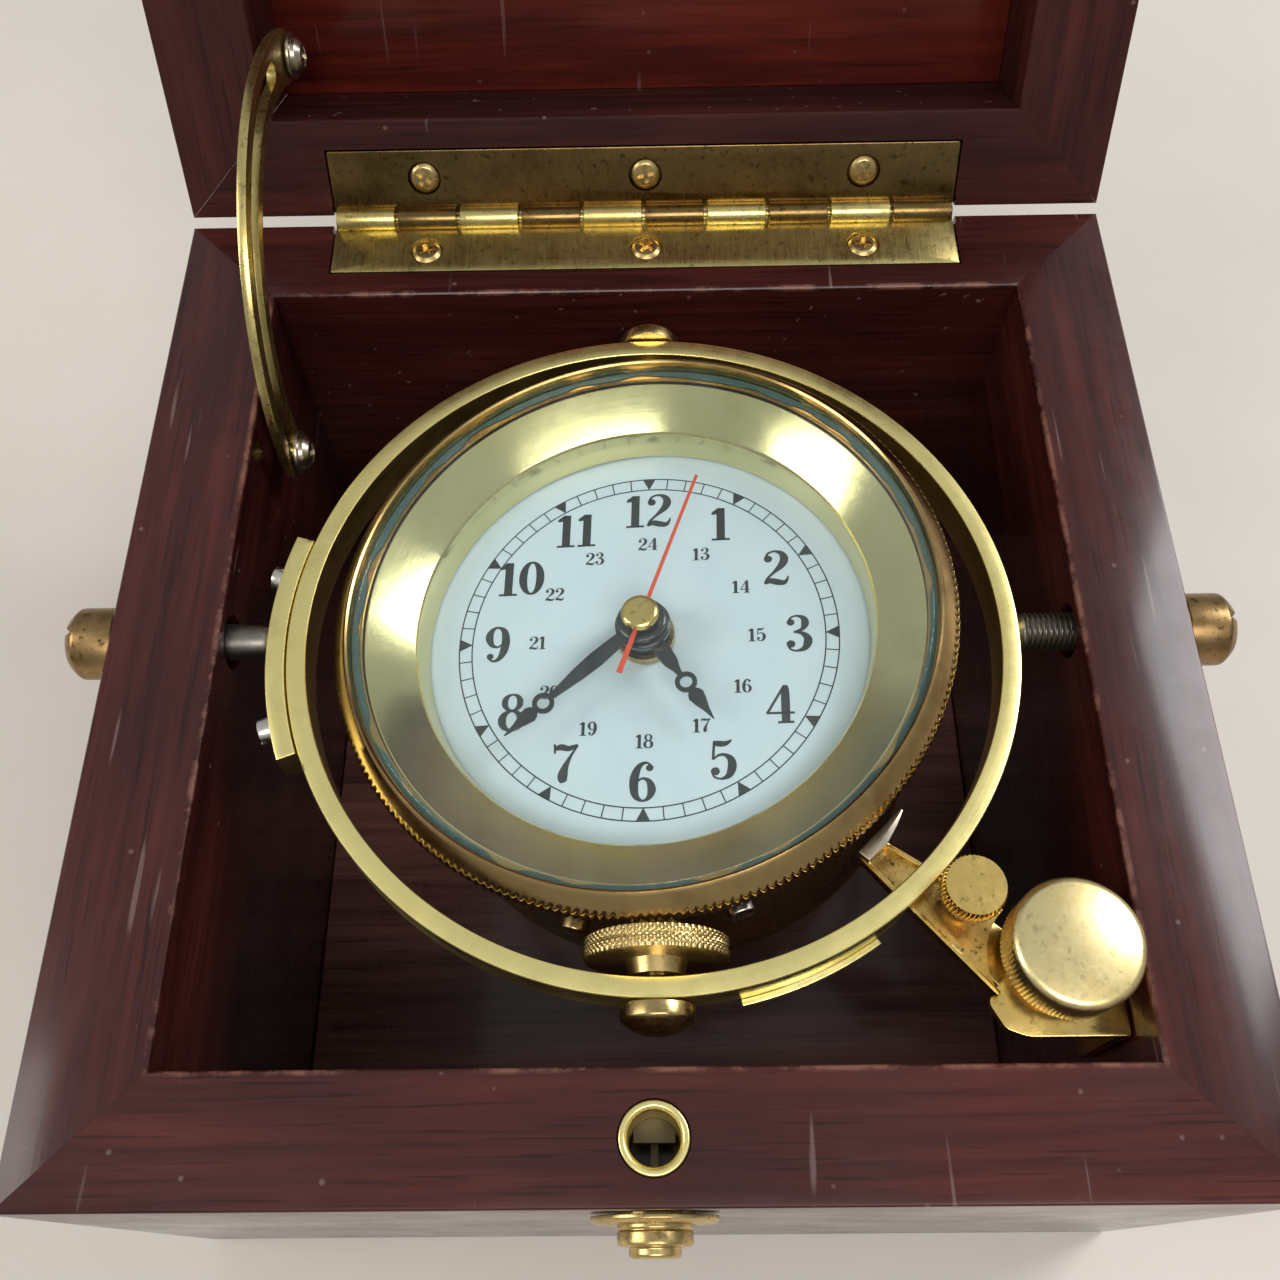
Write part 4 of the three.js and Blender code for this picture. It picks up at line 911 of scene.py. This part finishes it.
def make_dial():
    level = -0.7
    blank = turned([(3.8, level - 0.6), (38.6, level - 0.6), (38.6, level), (3.8, level)], 160, True, 0.1)
    piece("dial_face", blank, BOWL, "bowl", "dial", ["dial_plate"])
    ink = []
    for hour in range(1, 13):
        angle = radians(90 - 30 * hour)
        ink.append(number(str(hour), 6.2, 23.2 * cos(angle), 23.2 * sin(angle)))
        ink.append(number(str(hour + 12), 2.25, 16.9 * cos(angle), 16.9 * sin(angle)))
    steps, wide = 180, 0.2
    for radius in (29.2, 27.2):
        ring = arc(radius + wide / 2, 0, TAU, steps)[:-1] + arc(radius - wide / 2, 0, TAU, steps)[:-1]
        ink.append(([(x, y, 0) for x, y in ring], band_between(range(steps), range(steps, 2 * steps))))
    for minute in range(60):
        if minute % 5 == 0:
            mark = ([(-1.05, 29.2, 0), (1.05, 29.2, 0), (0, 27.15, 0)], [[0, 1, 2]])
        else:
            mark = ([(-0.09, 27.2, 0), (0.09, 27.2, 0), (0.09, 29.2, 0), (-0.09, 29.2, 0)], [[0, 1, 2, 3]])
        ink.append(spun(mark, -6 * minute))
    piece("dial_print", spun(shifted(joined(*ink), 0, 0, level + 0.03), -1.5), BOWL, "bowl", "print")


def spade(length, ring_at, low, boss, bore):
    """A spade hand along +Y: swelling blade, ring, leaf tip, and a thick boss."""
    side = [(0.9, 1.5), (1.15, ring_at * 0.3), (1.3, ring_at * 0.48), (1.1, ring_at * 0.66),
        (0.62, ring_at - 2.6), (0.4, ring_at - 1.4)]
    leaf = [(0.4, ring_at + 1.4), (0.95, ring_at + 1.9), (1.25, ring_at + 2.6), (0.95, ring_at + 3.9),
        (0.5, ring_at + 5.2), (0.08, length)]
    parts = []
    for half_line in (side, leaf):
        fine = []
        for p, q in zip(half_line, half_line[1:]):
            fine += [tuple(Vector(p).lerp(Vector(q), t / 3)) for t in range(3)]
        fine.append(half_line[-1])
        outline = [(x, y) for x, y in fine] + [(-x, y) for x, y in reversed(fine)]
        parts.append(prism(outline, low + 0.05, low + 0.45, 0.12))
    parts.append(shifted(turned([(0.92, low), (1.65, low), (1.65, low + 0.5), (0.92, low + 0.5)], 48, True,
        0.12), 0, ring_at, 0))
    parts.append(turned([(bore, low - 0.1), (boss, low - 0.1), (boss, low + 0.9), (boss - 0.5, low + 1.1),
        (bore, low + 1.1)], 72, True, 0.2))
    return joined(*parts)


def hand_turn(node):
    """How far clockwise of 12 a hand points, from its CAD mesh."""
    inverse = BOWL.inverted()
    points = [inverse @ vertex.co for vertex in frame["nodes"][node].data.vertices]
    tip = max(points, key=lambda p: p.x * p.x + p.y * p.y)
    return degrees(atan2(tip.x, tip.y))


def make_hands():
    hour = spun(spade(18.8, 11.6, 3.5, 4.2, 2.6), -hand_turn("hour_hand"))
    piece("hour_spade", hour, BOWL, "hours", "black", ["hour_hand"])
    minute = spun(spade(26.6, 19.2, 4.9, 3.7, 1.7), -hand_turn("minute_hand"))
    piece("minute_spade", minute, BOWL, "minutes", "black", ["minute_hand"])
    needle = prism([(-0.42, -9.5), (0.42, -9.5), (0.3, 0), (0.22, 26), (-0.22, 26), (-0.3, 0)], 6.3, 6.7,
        0.06)
    needle = joined(needle, turned([(0, 6.25), (1.6, 6.25), (1.6, 6.75), (0, 6.75)], 40, bevel=0.1))
    piece("second_needle", spun(needle, -hand_turn("second_hand")), BOWL, "seconds", "red", ["second_hand"])
    cap = turned([(0, 7.0), (2.6, 7.0), (2.8, 7.3), (2.8, 8.2), (2.3, 8.55), (0, 8.6)], 64, bevel=0.2)
    piece("hub_cap", cap, BOWL, "seconds", "gilt_brass", ["hand_cap"])


def make_case():
    cup = turned([(0, -40), (35.5, -40), (38.5, -38.8), (40.7, -36), (41.5, -33), (41.5, 2.4), (43.4, 3.0),
        (43.4, 7.4), (42.0, 7.4), (40, 5.6), (40, -33), (34.6, -38.2), (0, -38.2)], 160, bevel=0.4)
    piece("bowl_cup", cup, BOWL, "bowl", "old_brass", ["clock_bowl"])
    for name, side in (("front", -1), ("back", 1)):
        boss = turned([(2.5, 41.3), (3.4, 41.3), (3.4, 46.1), (2.5, 46.1)], 48, True, 0.2)
        piece(f"bowl_boss_{name}", boss, RING @ to_axis((0, 0, 0), (0, side, 0)), "bowl", "old_brass")

    knurl = straight_knurl(236, 0.42)
    edge = lambda angle, height, radius: knurl(angle, height,
        radius) if radius > 45.7 and 6.8 < height < 9.5 else 0
    profile = [(43.7, 3.6), (44.5, 3.6), (44.7, 3.8), (44.7, 6.3), (45.4, 6.5), (45.8, 6.9), (45.8, 9.3),
        (45.5, 9.6), (44.9, 10.4), (43.6, 11.9), (43.4, 12.1), (43.1, 12.3), (42.8, 12.1), (42.8, 9.8),
        (41.4, 9.8), (41.4, 9.2), (43.7, 8.6)]
    piece("bezel_hoop", turned(profile, 944, True, 0, edge), BOWL, "bezel", "bezel_brass", ["bezel_ring"],
        sharp=50)
    pane = turned([(0, 10.1), (42.4, 10.1), (42.4, 11.3), (42.0, 11.7), (0, 11.7)], 160, bevel=0.1)
    piece("glass_pane", pane, BOWL, "bezel", "glass", ["glass"])
    cone = turned([(41.1, 8.8), (34.6, 4.9), (34.3, 4.5), (33.6, -0.4), (34.6, -0.4), (35.3, 4.0),
        (41.3, 7.8), (42.9, 7.8), (42.9, 8.5)], 256, True, 0.12)
    piece("reflector_cone", cone, BOWL, "bowl", "cone_brass", ["reflector_ring"])

    def eaten(angle, height, radius):
        wave = 0.7 * sin(9 * angle) + sin(23 * angle + 1) * sin(5 * angle + 2)
        return 0.6 * max(0.0, wave) if radius < 42 else 0

    crust = turned([(41.6, 9.84), (42.7, 9.84), (42.7, 10.04), (41.6, 10.04)], 400, True, 0, eaten)
    piece("bezel_tarnish", crust, BOWL, "bezel", "tarnish")


def make_bowl_studs():
    stud = turned([(0, 40.2), (2.1, 40.2), (2.1, 45.0), (0, 45.2)], 40, bevel=0.25)
    for name, angle, z, material in (("brass", -104.6, -5.0, "old_brass"), ("steel", -73.4, -1.0, "steel")):
        out = Vector((cos(radians(angle)), sin(radians(angle)), 0))
        where = BOWL @ to_axis(Vector((0, 0, z * MM)), out, (0, 0, 1))
        piece(f"bowl_stud_{name}", stud, where, "bowl", material)


# latch
def make_latch():
    where = Matrix.Translation(Vector((0, centre_of("latch_bush").y, RIM_MM)) * MM)
    sleeve = turned([(3.3, -17), (4.5, -17), (4.5, -0.2), (4.3, 0.12), (3.7, 0.12), (3.3, -0.3)], 72, True,
        0.15)
    made = piece("latch_sleeve", sleeve, where, "box", "ring_brass", ["latch_bush"])
    carve(made, (block([-3.0, 0, -11.1], [3.0, 6, -8.9], 0), where),
        (block([-0.8, -6, -15.0], [0.8, 6, -13.4], 0), where))
    face = to_axis(Vector((0, -HALF, centre_of("latch_button").z)) * MM, FRONT)
    cap = turned([(0, 5.1), (3.0, 5.1), (3.3, 4.8), (3.3, 3.9), (4.7, 3.7), (4.8, 3.3), (4.8, 2.1),
        (4.6, 1.9), (4.8, 1.7), (4.8, -1.0), (2.3, -1.0), (2.3, 0.6), (0, 0.6)], 72, bevel=0.18)
    piece("latch_push", cap, face, "latch", "old_brass", ["latch_button"])
    rose = turned([(5.1, 0.3), (8.2, 0.3), (8.2, 0.8), (7.6, 1.2), (5.6, 1.35), (5.1, 1.2)], 96, True, 0.12)
    piece("latch_rose", rose, face, "box", "old_brass", ["latch_plate"])


# gimbal lock
def make_lock():
    deck, near_end, far_end = RIM_MM - 8.2, -59.2, -47.5
    inner = INSIDE - 0.3
    radial = Matrix.Translation((0, 0, RIM)) @ Matrix.Rotation(LOCK_ANGLE, 4, "Z")
    outline = [(inner, near_end), (inner, far_end), (52, -44.5), (44.9, -54.6), (46.8, -58.1),
        (49.7, near_end)]
    corner = prism(soften(outline, 0.8, True, 3), deck - 1.6, deck, 0.2)
    flange = block([inner - 1.8, near_end, deck - 18], [inner, far_end, deck - 0.4], 0.2)
    tongue = prism([(54, -5), (70, -6), (70, 1), (54, 0)], -9.8, -8.22, 0.2)
    tongue = shifted(spun(tongue, degrees(LOCK_ANGLE)), 0, 0, RIM_MM)
    piece("lock_bracket", joined(corner, flange, tongue), ROOT, "box", "gilt_brass", ["lock_base"])

    low, tip, end = -7.9, 45.4, 70.5
    near_side, far_side = ((tip, -5.6), (end, -7.9)), ((tip, -1.4), (end, 3.2))
    arm = piece("lock_tray", prism([*near_side, *far_side[::-1]], low, low + 1.3, 0.12), radial, "lock_arm",
        "pitted_brass", ["lock_arm"])
    knob = joint_at("lock_knob_turn")
    hollow = (rod(9.4, -12, 0, 96), Matrix.Translation((knob.x, knob.y, RIM)))
    pinch = joint_at("lock_thumbscrew_turn")
    carve(arm, hollow, (rod(1.9, -12, 0, 32), Matrix.Translation((pinch.x, pinch.y, RIM))))
    for side, (start, stop), inward in (("near", near_side, 0.7), ("far", far_side, -0.7)):
        line = [start, stop, (stop[0], stop[1] + inward), (start[0], start[1] + inward)]
        made = piece(f"lock_tray_rim_{side}", prism(line, low, low + 2.1, 0.15), radial, "lock_arm",
            "gilt_brass")
        carve(made, hollow)
    claw = prism([(44.7, -5.4), (46.7, -5.4), (47.0, -1.4), (46.4, 1.4), (45.6, 3.7), (45.2, 3.7),
        (44.9, -1.2)], low + 1.2, low + 3.3, 0.3)
    piece("lock_claw", claw, radial, "lock_arm", "nickel", slot="brass")

    knob_at = Matrix.Translation((knob.x, knob.y, RIM))
    fine = straight_knurl(90, 0.18)
    skirt = lambda angle, height, radius: fine(angle, height,
        radius) if radius > 8.55 and height < -0.4 else 0
    rows = [(0, -7.9), (1.6, -7.9), (1.6, -5.3), (7.0, -5.3), (7.4, -4.9), (7.4, -3.9), (8.2, -3.3),
        (8.6, -2.7), (8.6, -0.5), (8.6, 3.0), (8.45, 3.5), (8.1, 3.9), (7.5, 4.15), (0, 4.2)]
    piece("lock_knob_head", turned(rows, 360, False, 0, skirt), knob_at, "lock_knob", "knob_brass",
        ["lock_knob"])
    screw_at = Matrix.Translation((pinch.x, pinch.y, RIM))
    ridges = straight_knurl(44, 0.4)
    knurled = lambda angle, height, radius: ridges(angle, height, radius) if radius > 4.25 else 0
    small = turned([(0, -7.9), (1.5, -7.9), (1.5, -5.5), (2.4, -5.4), (2.4, -2.1), (4.0, -2.0), (4.3, -1.6),
        (4.3, 1.3), (4.0, 1.7), (0, 1.8)], 352, False, 0, knurled)
    piece("lock_thumbscrew_head", small, screw_at, "lock_thumbscrew", "gilt_brass", ["lock_thumbscrew"],
        sharp=45)


# remaining CAD nodes keep their meshes
PLAIN = {
    "latch_bolt": "iron", "latch_spring": "steel", "catch_stud": "old_brass", "dial_nut": "old_brass",
    "movement_case": "resin", "movement_cover": "resin", "battery": "cell", "step_motor": "copper",
    "second_wheel": "nylon", "third_wheel": "nylon", "minute_wheel": "nylon", "motion_wheel": "nylon",
    "hour_wheel": "nylon",
}


def dress_cad_nodes():
    for node, material in PLAIN.items():
        finish_mesh(frame["nodes"][node], MATERIALS[material])


# studio
def area_light(name, at, towards, size, power, colour, size_y):
    data = bpy.data.lights.new(name, "AREA")
    data.shape = "RECTANGLE"
    data.size, data.size_y = size, size_y
    data.energy = power
    data.color = colour
    lamp = add_object(name, data)
    lamp.location = at
    lamp.rotation_euler = (Vector(towards) - Vector(at)).to_track_quat("-Z", "Y").to_euler()


def make_studio():
    floor = bpy.data.meshes.new("studio_floor")
    floor.from_pydata([(-3, -3, 0), (3, -3, 0), (3, 3, 0), (-3, 3, 0)], [], [[0, 1, 2, 3]])
    ground = add_object("studio_floor", floor)
    floor.materials.append(coated("pale_floor", (0.60, 0.545, 0.485), (0.62, 0.565, 0.505), (0.5, 0.62), 30,
        0.02))

    world = bpy.data.worlds.new("studio")
    bpy.context.scene.world = world
    world.use_nodes = True
    tree = world.node_tree
    up = put(tree, "SeparateXYZ", {"Vector": put(tree, "TexCoord").outputs["Generated"]}).outputs["Z"]
    sky = ramp(tree, maths(tree, "MULTIPLY_ADD", up, 0.5), [(0.0, (0.5, 0.47, 0.43)),
        (0.55, (0.42, 0.43, 0.44)), (1.0, (0.75, 0.78, 0.8))])
    background = tree.nodes["Background"]
    tree.links.new(sky, background.inputs["Color"])
    background.inputs["Strength"].default_value = 0.68

    area_light("key", (0.95, 0.45, 0.95), (0, 0, 0.05), 0.5, 10, (0.97, 0.98, 1.0), 0.6)
    area_light("left", (-1.0, -0.1, 0.8), (0, 0, 0.05), 0.4, 5, (1.0, 0.97, 0.92), 0.7)
    area_light("front", (0.1, -0.75, 1.15), (0, 0, 0.05), 0.9, 9, (1.0, 0.97, 0.93), 0.5)


def make_camera():
    data = bpy.data.cameras.new("view")
    data.lens = 35.43
    data.sensor_width = 36
    camera = add_object("view", data)
    camera.location = (0.000651, -0.088137, RIM + 0.164601)
    camera.rotation_euler = (0.474, 0.015, -0.007)
    data.clip_start, data.clip_end = 0.01, 20
    bpy.context.scene.camera = camera


bpy.context.scene.view_settings.view_transform = "Standard"
make_camera()
make_studio()
make_boards()
make_hinge()
make_stay()
make_ring()
make_side_pivots()
make_dial()
make_hands()
make_case()
make_bowl_studs()
make_latch()
make_lock()
dress_cad_nodes()
